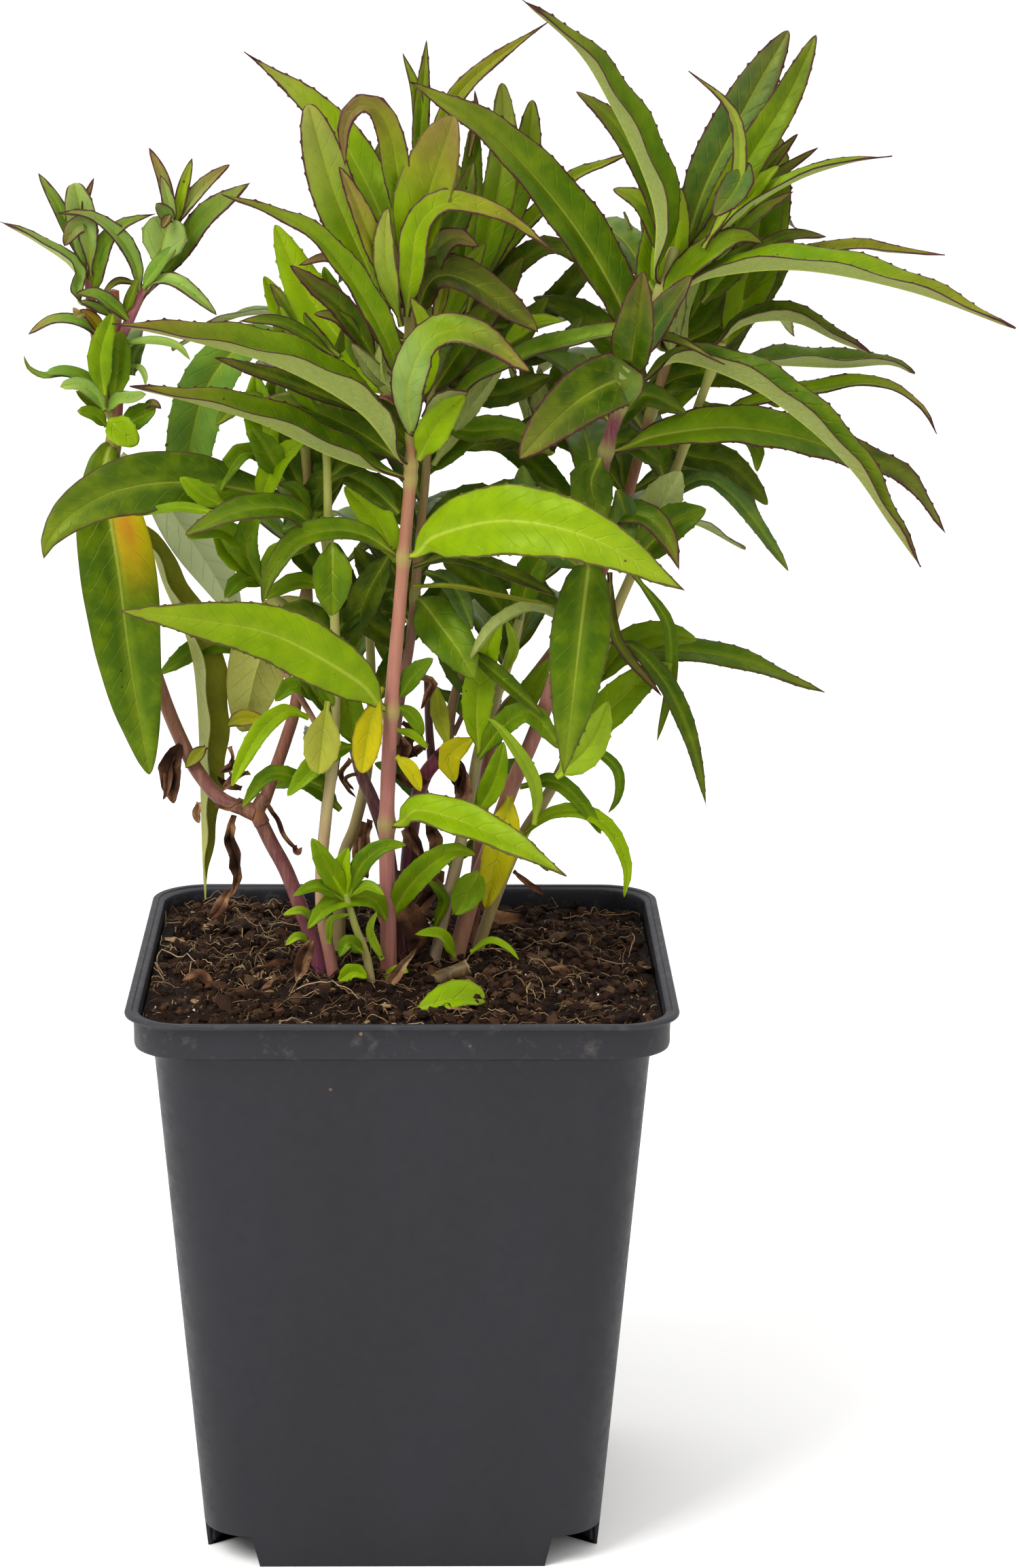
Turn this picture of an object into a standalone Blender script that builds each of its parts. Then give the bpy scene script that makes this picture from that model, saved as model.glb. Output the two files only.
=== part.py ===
"""A young penstemon in an 11 cm square nursery pot: pot, potting soil, stems, an old stump, long leaves.

+Z is up and the front is -Y. The origin is on the ground, under the middle of the pot. Sizes are in
millimetres and become metres where a mesh is made. Stems and leaves are placed as someone draws a plant:
across and up on an upright sheet through the pot's middle, seen from a viewing point, with how far back
each point lies behind it.
"""

import math

import bmesh
import bpy
import numpy as np

MM = 0.001
GAP = 0.3  # between neighbouring solids
LEAF_GAP = 0.5  # from a stem's skin to the end of a leaf's blade

# The pot: an 11 x 11 x 12 cm square container of thin polypropylene.
POT_HEIGHT = 120.0
LIP_HALF = 55.0
LIP_RING = 1.9
LIP_THICK = 1.2
BAND_HALF = 53.2
BAND_LOW = 112.0
BODY_TOP_HALF = 49.6
BODY_FOOT_HALF = 40.4
WALL = 1.0
LIP_CORNER = 12.0
CORNER_STEPS = 5
FOOT_TAB_TOP = 30.8
FOOT_TAB_END = 29.1
POCKET_HEIGHT = 6.8
POCKET_BEHIND = (40.0, 32.5, 19.0)
DRAIN_SIZE = 7.0
DRAIN_UP = 4.2  # the middle of a drain hole above the ground
DRAIN_HALF_HEIGHT = 1.8
DRAIN_DEPTH = 4.0  # how far its cutter reaches to each side of the wall
BODY_CORNER = LIP_CORNER - (LIP_HALF - BODY_TOP_HALF) * 0.3

# The soil: nearly level with the lip at the front and left, lower at the back right, mounded in the middle.
SOIL_EDGE = 116.6
SOIL_DIP = 2.3
SOIL_MOUND = 1.6
SOIL_RINGS = 6

# The sheet is seen from here (x, y, z).
EYE = np.array([5.0, -831.0, 351.0])

# Each stem: its points (across, up, back), its radius low down and at its top.
STEMS = {
    "front_stem": (
        [(-3, 106, -12), (-3.2, 125, -12), (-3.5, 147, -12), (-2.6, 171, -13), (-0.9, 192, -13),
         (0.6, 210, -13), (1.5, 222, -13), (1.8, 236, -13), (1.2, 250, -13), (0.6, 262, -12)], 1.75, 1.0),
    "second_stem": (
        [(-2.8, 110, -2), (-3, 150, -1), (-1.2, 170, 0), (1.4, 186, 1), (2.9, 203, 2), (4.5, 220, 3),
         (5.4, 234, 4), (6.2, 247, 5)], 1.2, 0.8),
    "purple_right_stem": (
        [(9, 110, -1), (13.5, 129, -1), (18.5, 144, -2), (22.3, 155, -3), (26.5, 165, -4),
         (30.5, 176, -5),
         (34, 188, -6), (36.8, 199, -6), (38.7, 211, -7), (40.8, 224, -8), (44, 235, -9), (49, 249, -9),
         (53.2, 262, -9), (54, 266, -9)], 1.8, 1.2),
    "right_rear_stem": (
        [(13, 112, 12), (15.5, 140, 13), (17, 158, 14), (20, 170, 15), (25, 176, 16), (31, 184, 17),
         (37, 193, 17), (42, 204, 16), (45.3, 215, 15), (49.8, 232, 14), (54, 246, 13)], 1.5, 1.0),
    "pale_outer_stem": (
        [(13.5, 111, 4), (16, 122, 4), (20, 134, 4), (24.5, 144.5, 4), (29, 152, 4), (33.5, 161, 4),
         (38, 174, 4), (42.7, 190, 4), (46.7, 200, 4), (51.5, 212, 4), (55.5, 222, 4), (59.5, 234, 4),
         (64, 247, 4)], 1.3, 0.9),
    "pale_right_stem": (
        [(4.6, 109, -5), (8.5, 128, -5), (11, 138, -4), (13.4, 151, -3), (15.4, 162, -2), (19, 174, 0),
         (21.5, 182, 1), (23.5, 190, 2)], 1.25, 0.8),
    "basal_shoot_stem": ([(-6, 107, -18), (-7.6, 118, -18), (-10, 125, -19), (-12, 132, -20)], 1.0, 0.7),
    "left_low_stem": (
        [(-15.5, 107, -9), (-18, 119, -9), (-21, 128, -9), (-24.3, 137, -8), (-27.4, 143, -7),
         (-30, 148.6, -6)],
        1.6, 1.5),
    "left_branch_stem": (
        [(-31.2, 149.6, -6), (-37.5, 152.3, -4), (-42, 157.5, -3), (-45.4, 164, -2), (-49.3, 174, -1),
         (-54, 190, 0), (-57.2, 207, 1), (-58.7, 224, 1), (-57.8, 236, 1), (-58.3, 257, 1)], 1.5, 1.3),
    "right_branch_stem": (
        [(-29, 151.1, -5.6), (-26.8, 157.5, -4), (-24.2, 165, -3), (-22.2, 172, -2), (-20.9, 183, -1),
         (-19.8, 196, 0), (-18.9, 208, 0), (-19.2, 216, 0), (-20, 226, 0)], 1.35, 1.0),
    "pale_left_stem": (
        [(-13.2, 107, -15), (-15.4, 119, -15), (-17, 128, -15), (-17, 138, -14), (-16, 149, -13),
         (-14.6, 160, -12), (-14, 172, -11), (-14, 186, -11), (-14.5, 199, -10), (-15.3, 208, -10),
         (-15.5, 221, -10), (-16, 231, -9)], 1.3, 0.8),
    "centre_pale_stem": (
        [(-13.5, 112, 3), (-13, 137, 4), (-10, 147, 5), (-7.6, 158, 6), (-6.6, 172, 8),
         (-7, 190, 10)], 1.1, 0.7),
    "back_stem": (
        [(-3.2, 113, 14), (-3.5, 147, 18), (-2.6, 171, 21), (-0.9, 192, 24), (1, 212, 27), (5, 232, 30),
         (10, 250, 32)], 1.5, 1.0),
    "back_left_stem": (
        [(-14, 113, 15), (-17, 133, 19), (-16, 149, 22), (-14.4, 163, 24), (-14, 186, 28), (-15.8, 206, 32),
         (-19, 222, 35)], 1.4, 1.0),
    "back_right_stem": (
        [(5, 113, 16), (8.5, 128, 19), (13.4, 151, 24), (15.6, 163, 27), (19, 174, 30), (23.5, 190, 34),
         (28, 225, 41)], 1.4, 1.0),
}
STEM_SIDES = 7
STEM_STEP = 9.0  # between the rings of a stem

# What is left of an old stem: its points, as for a stem, and its radius.
STUMP_POINTS = [(2.2, 109, -15), (6, 112.6, -15), (10.3, 115, -14.5), (14.3, 117, -14)]
STUMP_RADIUS = 1.9
STUMP_SIDES = 8

# Each leaf: its stem, the height on the stem where it grows, its points to the tip (across, up, back), its
# width, its roll (degrees from facing up towards facing the front; negative shows the underside) and its
# fold (degrees).
LEAVES = {
    "front_leaf_low": (
        "front_stem", 147, [(4, 149.8, -18), (18, 145, -26), (33.8, 136, -34)], 8.5, 50, 22),
    "front_leaf_left": (
        "front_stem", 171,
        [(-10, 177.5, -20), (-26, 186.5, -29), (-42, 189.8, -37), (-58.5, 191.8, -42)], 12, 70, 8),
    "front_leaf_right": (
        "front_stem", 203,
        [(7, 207.5, -18), (21, 210.5, -27), (38, 207, -34), (57.4, 196.2, -40)], 14.5, 68, 8),
    "front_leaf_long_left": (
        "front_stem", 222,
        [(-9, 234, -20), (-24, 243.5, -29), (-40, 248, -35), (-58.5, 250.5, -39)], 10, 48, 20),
    "front_leaf_second_left": (
        "front_stem", 219,
        [(-14, 225, -16), (-29, 232.5, -21), (-44, 236.5, -24), (-55.2, 237.7, -26)], 8, 48, 22),
    "front_leaf_arch": (
        "front_stem", 228, [(1, 238, -22), (5, 247, -28), (13, 249, -32), (25.4, 241, -38)], 8, 55, 15),
    "front_leaf_upper_left": (
        "front_stem", 238,
        [(-4, 248, -19), (-11, 260, -23), (-20, 269.5, -26), (-36.3, 276.4, -28)], 7, 40, 25),
    "front_leaf_bright": (
        "front_stem", 236,
        [(-7, 241, -8), (-14, 249, -5), (-20, 258, -3), (-25.7, 270.3, -1)], 10, 75, 10),
    "top_leaf_broad": (
        "front_stem", 247, [(-6.5, 261, -12), (-12.5, 278, -12), (-19.4, 294.2, -11)], 8, 62, 10),
    "top_leaf_left": ("front_stem", 258, [(-3, 271, -6), (-14, 290.5, 0), (-31.6, 304.3, 4)], 7, 45, 12),
    "top_leaf_right": ("front_stem", 254, [(4.5, 270, -17), (10.3, 292, -19)], 9, -60, 30),
    "second_leaf_low": (
        "second_stem", 195, [(7, 189.5, -5), (11, 184, -9), (14.5, 177.8, -12)], 10, 75, 10),
    "second_leaf_long": (
        "second_stem", 229,
        [(14, 238.5, 0), (26, 244.5, -5), (40, 248.3, -10), (52, 248, -13),
         (64.8, 242.7, -18)], 7, 30, 22),
    "right_leaf_hanging": (
        "purple_right_stem", 202,
        [(37.5, 199.5, -13), (36, 186, -17), (34.6, 172, -19), (33, 157.5, -19)], 12, 86, 8),
    "right_leaf_dark": (
        "purple_right_stem", 234,
        [(43, 239, -17), (36.5, 236, -23), (29.5, 230, -28), (23.4, 223.3, -32)], 12, 72, 10),
    "right_leaf_raised": (
        "purple_right_stem", 240, [(46.4, 247, -20), (47.2, 253, -25), (48, 261.3, -28)], 9, -62, 20),
    "right_leaf_arch": (
        "purple_right_stem", 239,
        [(55, 244.5, -6), (68, 243, -13), (81, 236, -19), (92, 224.5, -24), (100, 211, -27),
         (105.7, 201.3, -28)],
        8.5, 30, 28),
    "right_leaf_long": (
        "purple_right_stem", 225,
        [(52, 228.3, -4), (66, 230.5, 0), (80, 229.5, 3), (92, 226, 5), (102, 219.5, 6),
         (110.4, 208.3, 6)],
        9.5, 55, 16),
    "right_leaf_broad": (
        "purple_right_stem", 243,
        [(44.5, 252, -4), (36.8, 266, -2), (27, 278.8, 0), (16, 288, 1), (1.2, 298.5, 1)], 13, 64, 14),
    "right_top_leaf_tall": (
        "purple_right_stem", 259,
        [(51.5, 274, -14), (46, 290.3, -17), (38, 303, -19), (23.4, 314.8, -20)], 11, 25, 38),
    "right_top_leaf_wide": (
        "purple_right_stem", 257,
        [(63, 262, -14), (80, 265.3, -21), (102, 260.5, -28), (123, 250.7, -33)], 11, 24, 22),
    "right_top_leaf_dark": (
        "purple_right_stem", 264, [(61.5, 279, -4), (69, 297, 0), (76.2, 309, 2)], 10, 58, 14),
    "right_torn_leaf": (
        "purple_right_stem", 210,
        [(44.5, 211.8, -12), (49.5, 211.3, -15), (53.6, 207, -17), (56.2, 200.5, -18)],
        6.5, 45, 15),
    "rear_leaf_upright": ("right_rear_stem", 233, [(57, 243, 17), (58, 260, 18)], 9, 70, 8),
    "outer_leaf_upright": (
        "pale_outer_stem", 245, [(68.5, 256, 9), (72, 270, 12), (75, 288, 13)], 10, 66, 10),
    "outer_leaf_dark": (
        "pale_outer_stem", 241, [(74, 245.2, 12), (88, 245.6, 20), (103.2, 241, 26)], 7, 42, 16),
    "outer_leaf_bright": (
        "pale_outer_stem", 228,
        [(70, 233.5, 12), (84, 238.8, 18), (98, 238.2, 23), (108, 228.6, 26)], 6, 45, 14),
    "outer_leaf_low": (
        "pale_outer_stem", 178, [(48, 183.3, 9), (66, 182.4, 13), (86.5, 175, 15)], 7, 40, 14),
    "outer_leaf_drooping": (
        "pale_outer_stem", 186,
        [(47.5, 184, 0), (54.5, 175.5, -3), (59.4, 164, -5), (62.6, 150.8, -5)], 4.5, 40, 18),
    "left_leaf_blotched": (
        "left_branch_stem", 224,
        [(-61, 217, -5), (-58.7, 200, -9), (-55.6, 180, -10), (-51.8, 157.5, -8)], 16, 84, 8),
    "left_leaf_hanging": (
        "left_branch_stem", 222,
        [(-52, 223, 6), (-45.5, 211, 9), (-41.2, 196, 9), (-39.8, 172, 7), (-40, 150, 5),
         (-41.2, 131, 3)],
        8.5, -55, 20),
    "left_shoot_leaf": (
        "left_branch_stem", 250, [(-66, 261, -2), (-73, 267, -3), (-80.4, 270.7, -4)], 4.5, 35, 15),
    "left_top_leaf": (
        "left_branch_stem", 252, [(-48, 262, -3), (-39.5, 271, -5), (-30.7, 278.6, -6)], 5, 40, 15),
    "left_leaf_dark": (
        "right_branch_stem", 213,
        [(-31, 217, -10), (-46, 217.3, -18), (-61, 213.8, -24), (-73.2, 202.5, -28)], 12.5, 62, 12),
    "left_leaf_pale": (
        "right_branch_stem", 194, [(-25, 190, 1), (-30, 178, 2), (-34, 165.5, 3)], 11, -84, 10),
    "left_leaf_small": (
        "pale_left_stem", 208, [(-24, 212.8, -17), (-34, 212.3, -23), (-44.3, 207.5, -27)], 6.5, 50, 14),
}

BLADE_STATIONS = 11  # rings along a leaf
BLADE_THICK = 0.8
BASE_RUN = 1.6  # how far a leaf's base runs straight out of its stem
BASE_HALF = 0.9  # half the width of a leaf's base
BASE_FLARE = 2.2  # how fast a leaf widens from its base
FLAT_BASE = 0.22  # the share of a leaf over which its fold grows

# Stems that carry opposite pairs of leaves, each pair a quarter turn on from the one below:
# the heights of the pairs, the leaf's length and its width.
BACK_PAIRS = {
    "back_stem": ((236,), 62, 9),
    "back_left_stem": ((200,), 56, 9),
    "back_right_stem": ((196,), 54, 9),
}

FIRST_PAIR_ANGLE = 25.0
PAIR_SPREAD = 130.0  # degrees between the two leaves of a pair, both away from the front
PAIR_FOLD = 16.0
PAIR_ARCH = ((0.35, 0.2), (0.7, 0.24), (1.0, 0.1))  # how far out and up, as shares of the leaf's length

POT_COLOUR = (0.048, 0.047, 0.052)
SOIL_COLOUR = (0.045, 0.026, 0.014)
LEAF_COLOUR = (0.12, 0.28, 0.03)
STEM_COLOURS = {"pale": (0.42, 0.45, 0.22), "purple": (0.22, 0.08, 0.10), "plain": (0.33, 0.16, 0.13)}
WOOD_COLOUR = (0.20, 0.13, 0.06)


def clear_scene():
    for thing in list(bpy.data.objects):
        bpy.data.objects.remove(thing, do_unlink=True)


def material(name, colour, roughness):
    made = bpy.data.materials.new(name)
    made.use_nodes = True
    shader = made.node_tree.nodes["Principled BSDF"]
    shader.inputs["Base Color"].default_value = (*colour, 1.0)
    shader.inputs["Roughness"].default_value = roughness
    return made


def solid(name, points, faces, colour, roughness=0.5):
    """An object from points in millimetres and faces, its faces turned outwards."""
    mesh = bpy.data.meshes.new(name)
    mesh.from_pydata([tuple(p * MM for p in point) for point in points], [], faces)
    work = bmesh.new()
    work.from_mesh(mesh)
    bmesh.ops.triangulate(work, faces=work.faces)
    bmesh.ops.recalc_face_normals(work, faces=work.faces)
    work.to_mesh(mesh)
    work.free()
    made = bpy.data.objects.new(name, mesh)
    bpy.context.scene.collection.objects.link(made)
    mesh.materials.append(material(name, colour, roughness))
    mesh.shade_smooth()
    mesh.set_sharp_from_angle(angle=math.radians(35))
    return made


def loft(rings):
    """Points and faces of a closed body through rings of equal length, with flat caps."""
    count = len(rings[0])
    points = [tuple(point) for ring in rings for point in ring]
    faces = [tuple(range(count)), tuple(range(len(points) - count, len(points)))]
    for low in range(0, len(points) - count, count):
        for i in range(count):
            j = (i + 1) % count
            faces.append((low + i, low + j, low + count + j, low + count + i))
    return points, faces


def rounded_square(half, corner, height):
    """One ring of the pot: a square with round corners, all at one height."""
    ring = []
    for quarter in range(4):
        turn = quarter * math.pi / 2
        for step in range(CORNER_STEPS + 1):
            angle = turn + step * math.pi / 2 / CORNER_STEPS
            centre = half - corner
            across = (math.cos(turn) - math.sin(turn)) * centre
            along = (math.sin(turn) + math.cos(turn)) * centre
            ring.append((across + corner * math.cos(angle), along + corner * math.sin(angle), height))
    return ring


def body_half(height):
    """Half the pot body's outer width at a height: it widens evenly from the foot to the band."""
    return BODY_FOOT_HALF + (BODY_TOP_HALF - BODY_FOOT_HALF) * height / BAND_LOW


def carve(target, cutter):
    """Cuts one object out of another and keeps the cutter as a wire guide."""
    cutter.hide_render = True
    cutter.display_type = "WIRE"
    cut = target.modifiers.new("cut_" + cutter.name, "BOOLEAN")
    cut.operation = "DIFFERENCE"
    cut.object = cutter
    return cut


def grown(outline, margin):
    """An outline, listed clockwise, with every side moved out by a margin."""
    corners = np.array(outline, float)
    sides = np.roll(corners, -1, axis=0) - corners
    sides /= np.linalg.norm(sides, axis=1)[:, None]
    normals = np.stack([-sides[:, 1], sides[:, 0]], axis=1)
    before = np.roll(normals, 1, axis=0)
    share = 1 + (normals * before).sum(axis=1)
    return corners + margin * (normals + before) / share[:, None]


def pocket(name, margin, top):
    """The space at each lower corner of the pot where the base steps up, grown by a margin."""
    out, behind, narrow = POCKET_BEHIND
    reach = BODY_TOP_HALF + 10
    rings = []
    for height, end in ((-5.0, FOOT_TAB_END - 1.2), (top, FOOT_TAB_TOP)):
        ring = [(reach, end), (out, end), (behind, narrow), (narrow, behind), (end, out), (end, reach),
                (reach, reach)]
        rings.append([(x, y, height) for x, y in grown(ring, margin)])
    points, faces = loft(rings)
    every, sides = [], []
    for quarter in range(4):
        turn = quarter * math.pi / 2
        sides += [tuple(i + len(every) for i in face) for face in faces]
        every += [(x * math.cos(turn) - y * math.sin(turn), x * math.sin(turn) + y * math.cos(turn), z)
                  for x, y, z in points]
    return solid(name, every, sides, POT_COLOUR)


def drain_cutter():
    """A square hole through the slanting wall of each corner pocket."""
    every, sides = [], []
    for quarter in range(4):
        turn = (quarter + 0.5) * math.pi / 2
        along = np.array([math.cos(turn), math.sin(turn), 0.0])
        beside = np.array([-math.sin(turn), math.cos(turn), 0.0])
        middle = along * (POCKET_BEHIND[1] + POCKET_BEHIND[2]) / math.sqrt(2) + np.array([0, 0, DRAIN_UP])
        square = [beside * w * DRAIN_SIZE / 2 + np.array([0, 0, h * DRAIN_HALF_HEIGHT])
                  for w, h in ((-1, -1), (1, -1), (1, 1), (-1, 1))]
        rings = [[middle + along * depth + corner for corner in square]
                 for depth in (-DRAIN_DEPTH, DRAIN_DEPTH)]
        points, faces = loft(rings)
        sides += [tuple(i + len(every) for i in face) for face in faces]
        every += points
    return solid("drain_guide", every, sides, POT_COLOUR)


def nursery_pot():
    """The pot: turned-out lip, straight band, tapered body and a base stepped up at its four corners."""
    outer = [
        (BODY_FOOT_HALF, BODY_CORNER, 0.0),
        (BODY_TOP_HALF, BODY_CORNER, BAND_LOW),
        (BAND_HALF - 0.8, LIP_CORNER - 1.0, BAND_LOW + 0.2),
        (BAND_HALF, LIP_CORNER - 1.0, BAND_LOW + 1.2),
        (BAND_HALF + 0.1, LIP_CORNER - 1.0, POT_HEIGHT - LIP_THICK - 0.6),
        (LIP_HALF - 0.2, LIP_CORNER, POT_HEIGHT - LIP_THICK),
        (LIP_HALF, LIP_CORNER, POT_HEIGHT - LIP_THICK / 2),
        (LIP_HALF - 0.5, LIP_CORNER, POT_HEIGHT),
    ]
    inner = [
        (BODY_FOOT_HALF + 0.1 - WALL, BODY_CORNER - WALL, WALL),
        (BODY_TOP_HALF - WALL, BODY_CORNER - WALL, BAND_LOW + 0.6),
        (BAND_HALF - WALL, LIP_CORNER - 1.0, BAND_LOW + 1.6),
        (BAND_HALF - WALL, LIP_CORNER - 1.0, POT_HEIGHT - 1.0),
        (LIP_HALF - LIP_RING, LIP_CORNER - 1.0, POT_HEIGHT + 0.01),
        (LIP_HALF - LIP_RING, LIP_CORNER - 1.0, POT_HEIGHT + 5.0),
    ]
    body = solid("nursery_pot", *loft([rounded_square(*ring) for ring in outer]), POT_COLOUR, 0.45)
    inside = solid("inside_guide", *loft([rounded_square(*ring) for ring in inner]), POT_COLOUR)
    carve(inside, pocket("inside_step_guide", WALL, POCKET_HEIGHT + WALL))
    carve(body, inside)
    carve(body, pocket("pocket_guide", 0.0, POCKET_HEIGHT))
    carve(body, drain_cutter())


def soil_height(x, y):
    """The soil's surface: a low mound with slow waves, sinking towards the back right."""
    far = min(1.0, math.hypot(x, y) / 52)
    mound = SOIL_MOUND * (1 - far * far)
    dip = SOIL_DIP * max(0.0, (x + y) / (2 * BAND_HALF)) ** 1.5
    waves = 0.5 * math.sin(x / 7.5 + 1.0) * math.cos(y / 6.3) * (1 - 0.5 * far)
    return SOIL_EDGE + mound - dip + waves


def potting_soil():
    """The root ball, the shape of the pot's inside, with an uneven top."""
    low_corner = BODY_CORNER - WALL - GAP
    corner = LIP_CORNER - 1.0 - GAP
    floor = WALL + GAP
    half = BAND_HALF - WALL - GAP
    rings = [
        rounded_square(body_half(floor) - WALL - GAP, low_corner, floor),
        rounded_square(BODY_TOP_HALF - WALL - GAP, low_corner, BAND_LOW + 0.6 + GAP),
        rounded_square(half, corner, BAND_LOW + 1.6 + GAP),
    ]
    for step in range(SOIL_RINGS):
        scale = 1 - step / SOIL_RINGS
        ring = rounded_square(half * scale, corner * scale, 0.0)
        rings.append([(x, y, soil_height(x, y)) for x, y, _ in ring])
    return solid("potting_soil", *loft(rings), SOIL_COLOUR, 0.95)


def place(point):
    """Where a sheet point (across, up, back) lies: on its sight line from the eye, behind the sheet."""
    across, up, back = point
    stretch = (back - EYE[1]) / -EYE[1]
    return np.array([EYE[0] + (across - EYE[0]) * stretch, back, EYE[2] + (up - EYE[2]) * stretch])


def smooth_line(knots, count):
    """Evenly spaced points on a Catmull-Rom curve through the knots."""
    knots = np.asarray(knots, float)
    padded = np.vstack([2 * knots[0] - knots[1], knots, 2 * knots[-1] - knots[-2]])
    fine = []
    for i in range(len(knots) - 1):
        a, b, c, d = padded[i:i + 4]
        for u in np.linspace(0, 1, 16, endpoint=False):
            fine.append(0.5 * (2 * b + (c - a) * u + (2 * a - 5 * b + 4 * c - d) * u * u
                               + (3 * b - a - 3 * c + d) * u ** 3))
    fine.append(knots[-1])
    fine = np.array(fine)
    run = np.concatenate([[0], np.cumsum(np.linalg.norm(np.diff(fine, axis=0), axis=1))])
    even = np.linspace(0, run[-1], count)
    return np.stack([np.interp(even, run, fine[:, axis]) for axis in range(3)], axis=1)


def unit(vector):
    return vector / np.linalg.norm(vector)


def stem_radius(name, share):
    """The stem's radius at a share of its length: it thins towards the top."""
    low, top = STEMS[name][1:]
    return low + (top - low) * share


def stem_line(name):
    knots = [place(point) for point in STEMS[name][0]]
    length = np.linalg.norm(np.diff(knots, axis=0), axis=1).sum()
    return smooth_line(knots, max(4, round(length / STEM_STEP) + 1))


def tube(line, radii, sides):
    """Rings round a line, each turned with as little twist as possible from the one before."""
    beside = np.array([1.0, 0.0, 0.0])
    rings = []
    for i, middle in enumerate(line):
        ahead = unit(line[min(i + 1, len(line) - 1)] - line[max(i - 1, 0)])
        beside = unit(beside - ahead * (beside @ ahead))
        across = np.cross(ahead, beside)
        turns = [2 * math.pi * k / sides for k in range(sides)]
        rings.append([middle + radii[i] * (math.cos(a) * beside + math.sin(a) * across) for a in turns])
    return rings


def stem_solid(name, grow=0.0, called=None):
    line = stem_line(name)
    radii = [stem_radius(name, share) + grow for share in np.linspace(0, 1, len(line))]
    if grow:
        line[0] -= (line[1] - line[0]) * grow / np.linalg.norm(line[1] - line[0])
    kind = next((word for word in STEM_COLOURS if word in name), "plain")
    return solid(called or name, *loft(tube(line, radii, STEM_SIDES)), STEM_COLOURS[kind], 0.5)


def blade_width(share):
    """The leaf's half width as a share of the widest, from 0 at the base to 1 at the tip."""
    return 0.16 * (1 - share) ** 2 + 0.92 * math.sin(math.pi * min(1.0, share * 0.97 + 0.03) ** 0.86) ** 0.9


def blade_rings(line, width, roll, fold):
    """Six-sided rings along a leaf: two halves meeting at the midrib, raised by the fold."""
    face = np.array([0.0, -math.sin(math.radians(roll)), math.cos(math.radians(roll))])
    rings = []
    for i, middle in enumerate(line):
        share = i / (len(line) - 1)
        rise = math.radians(fold) * min(1.0, share / FLAT_BASE)
        ahead = unit(line[min(i + 1, len(line) - 1)] - line[max(i - 1, 0)])
        side = unit(np.cross(ahead, face))
        normal = np.cross(side, ahead)
        half = max(0.35, min(width / 2 * blade_width(share), BASE_HALF + share * width * BASE_FLARE))
        thick = BLADE_THICK * (0.55 + 0.45 * math.sin(math.pi * min(1, share + 0.25)))
        out = side * half * math.cos(rise)
        lift = normal * half * math.sin(rise)
        edge = normal * thick * 0.3
        rib = normal * thick / 2
        rings.append([middle - out + lift + edge, middle + rib, middle + out + lift + edge,
                      middle + out + lift - edge, middle - rib, middle - out + lift - edge])
    return rings


def stem_spot(name, up):
    """The point on a stem's middle line at a sheet height, the stem's direction and its radius there."""
    along = np.array([place(point) for point in smooth_line(STEMS[name][0], 200)])
    heights = smooth_line(STEMS[name][0], 200)[:, 1]
    row = min(198, int(np.argmin(abs(heights - up))))
    return along[row], unit(along[row + 1] - along[row]), stem_radius(name, row / 199)


def leaf_base(stem, up, aim):
    """Two points where a leaf leaves its stem: just clear of its skin, then out and towards its aim."""
    spot, ahead, radius = stem_spot(stem, up)
    out = aim - spot
    rise = out @ ahead
    out = unit(out - ahead * rise)
    start = spot + out * (radius + LEAF_GAP + BLADE_THICK / 2)
    return [start, start + out * BASE_RUN + ahead * BASE_RUN * math.copysign(min(1.0, abs(rise) / 8), rise)]


def leaf_solid(name, stem, up, points, width, roll, fold):
    """A leaf whose base stands just clear of its stem's skin."""
    knots = [place(point) for point in points]
    line = smooth_line(leaf_base(stem, up, knots[0]) + knots, BLADE_STATIONS)
    return solid(name, *loft(blade_rings(line, width, roll, fold)), LEAF_COLOUR, 0.45)


def paired_leaves(stem, heights, length, width):
    """Opposite pairs up a stem, each a quarter turn on: a leaf rises, arches over and droops at its tip."""
    for level, up in enumerate(heights):
        spot, _, _ = stem_spot(stem, up)
        for side in (0, 1):
            angle = math.radians(FIRST_PAIR_ANGLE + 90 * level + PAIR_SPREAD * side)
            out = np.array([math.cos(angle), math.sin(angle), 0.0]) * length
            knots = [spot + out * run + np.array([0, 0, length * lift]) for run, lift in PAIR_ARCH]
            line = smooth_line(leaf_base(stem, up, knots[0]) + knots, BLADE_STATIONS)
            name = f"{stem.replace('_stem', '')}_leaf_{2 * level + side + 1}"
            solid(name, *loft(blade_rings(line, width, 0, PAIR_FOLD)), LEAF_COLOUR, 0.45)


def cut_stump(called="cut_stump", grow=0.0):
    """What is left of an old stem, pruned hard and leaning out of the soil."""
    line = smooth_line([place(point) for point in STUMP_POINTS], 6)
    return solid(called, *loft(tube(line, [STUMP_RADIUS + grow] * 6, STUMP_SIDES)), WOOD_COLOUR, 0.8)


def build():
    clear_scene()
    nursery_pot()
    soil = potting_soil()
    carve(soil, pocket("soil_step_guide", WALL + GAP, POCKET_HEIGHT + WALL + GAP))
    for name in STEMS:
        stem_solid(name)
        carve(soil, stem_solid(name, GAP, name + "_hole_guide"))
    cut_stump()
    carve(soil, cut_stump("cut_stump_hole_guide", GAP))
    for name, row in LEAVES.items():
        leaf_solid(name, *row)
    for stem, row in BACK_PAIRS.items():
        paired_leaves(stem, *row)


build()
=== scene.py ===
# %% [markdown]
# # A young penstemon in its nursery pot
# The plant is a garden penstemon in an 11 cm square pot: upright stems with long toothed leaves in
# opposite pairs, one side shoot, an old stump and dark peaty soil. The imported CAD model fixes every
# place and size. This lesson grows finer pieces around it with numpy surfaces and procedural finishes.

import math
from functools import partial

import bpy
import numpy as np
from mathutils import Matrix


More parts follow.
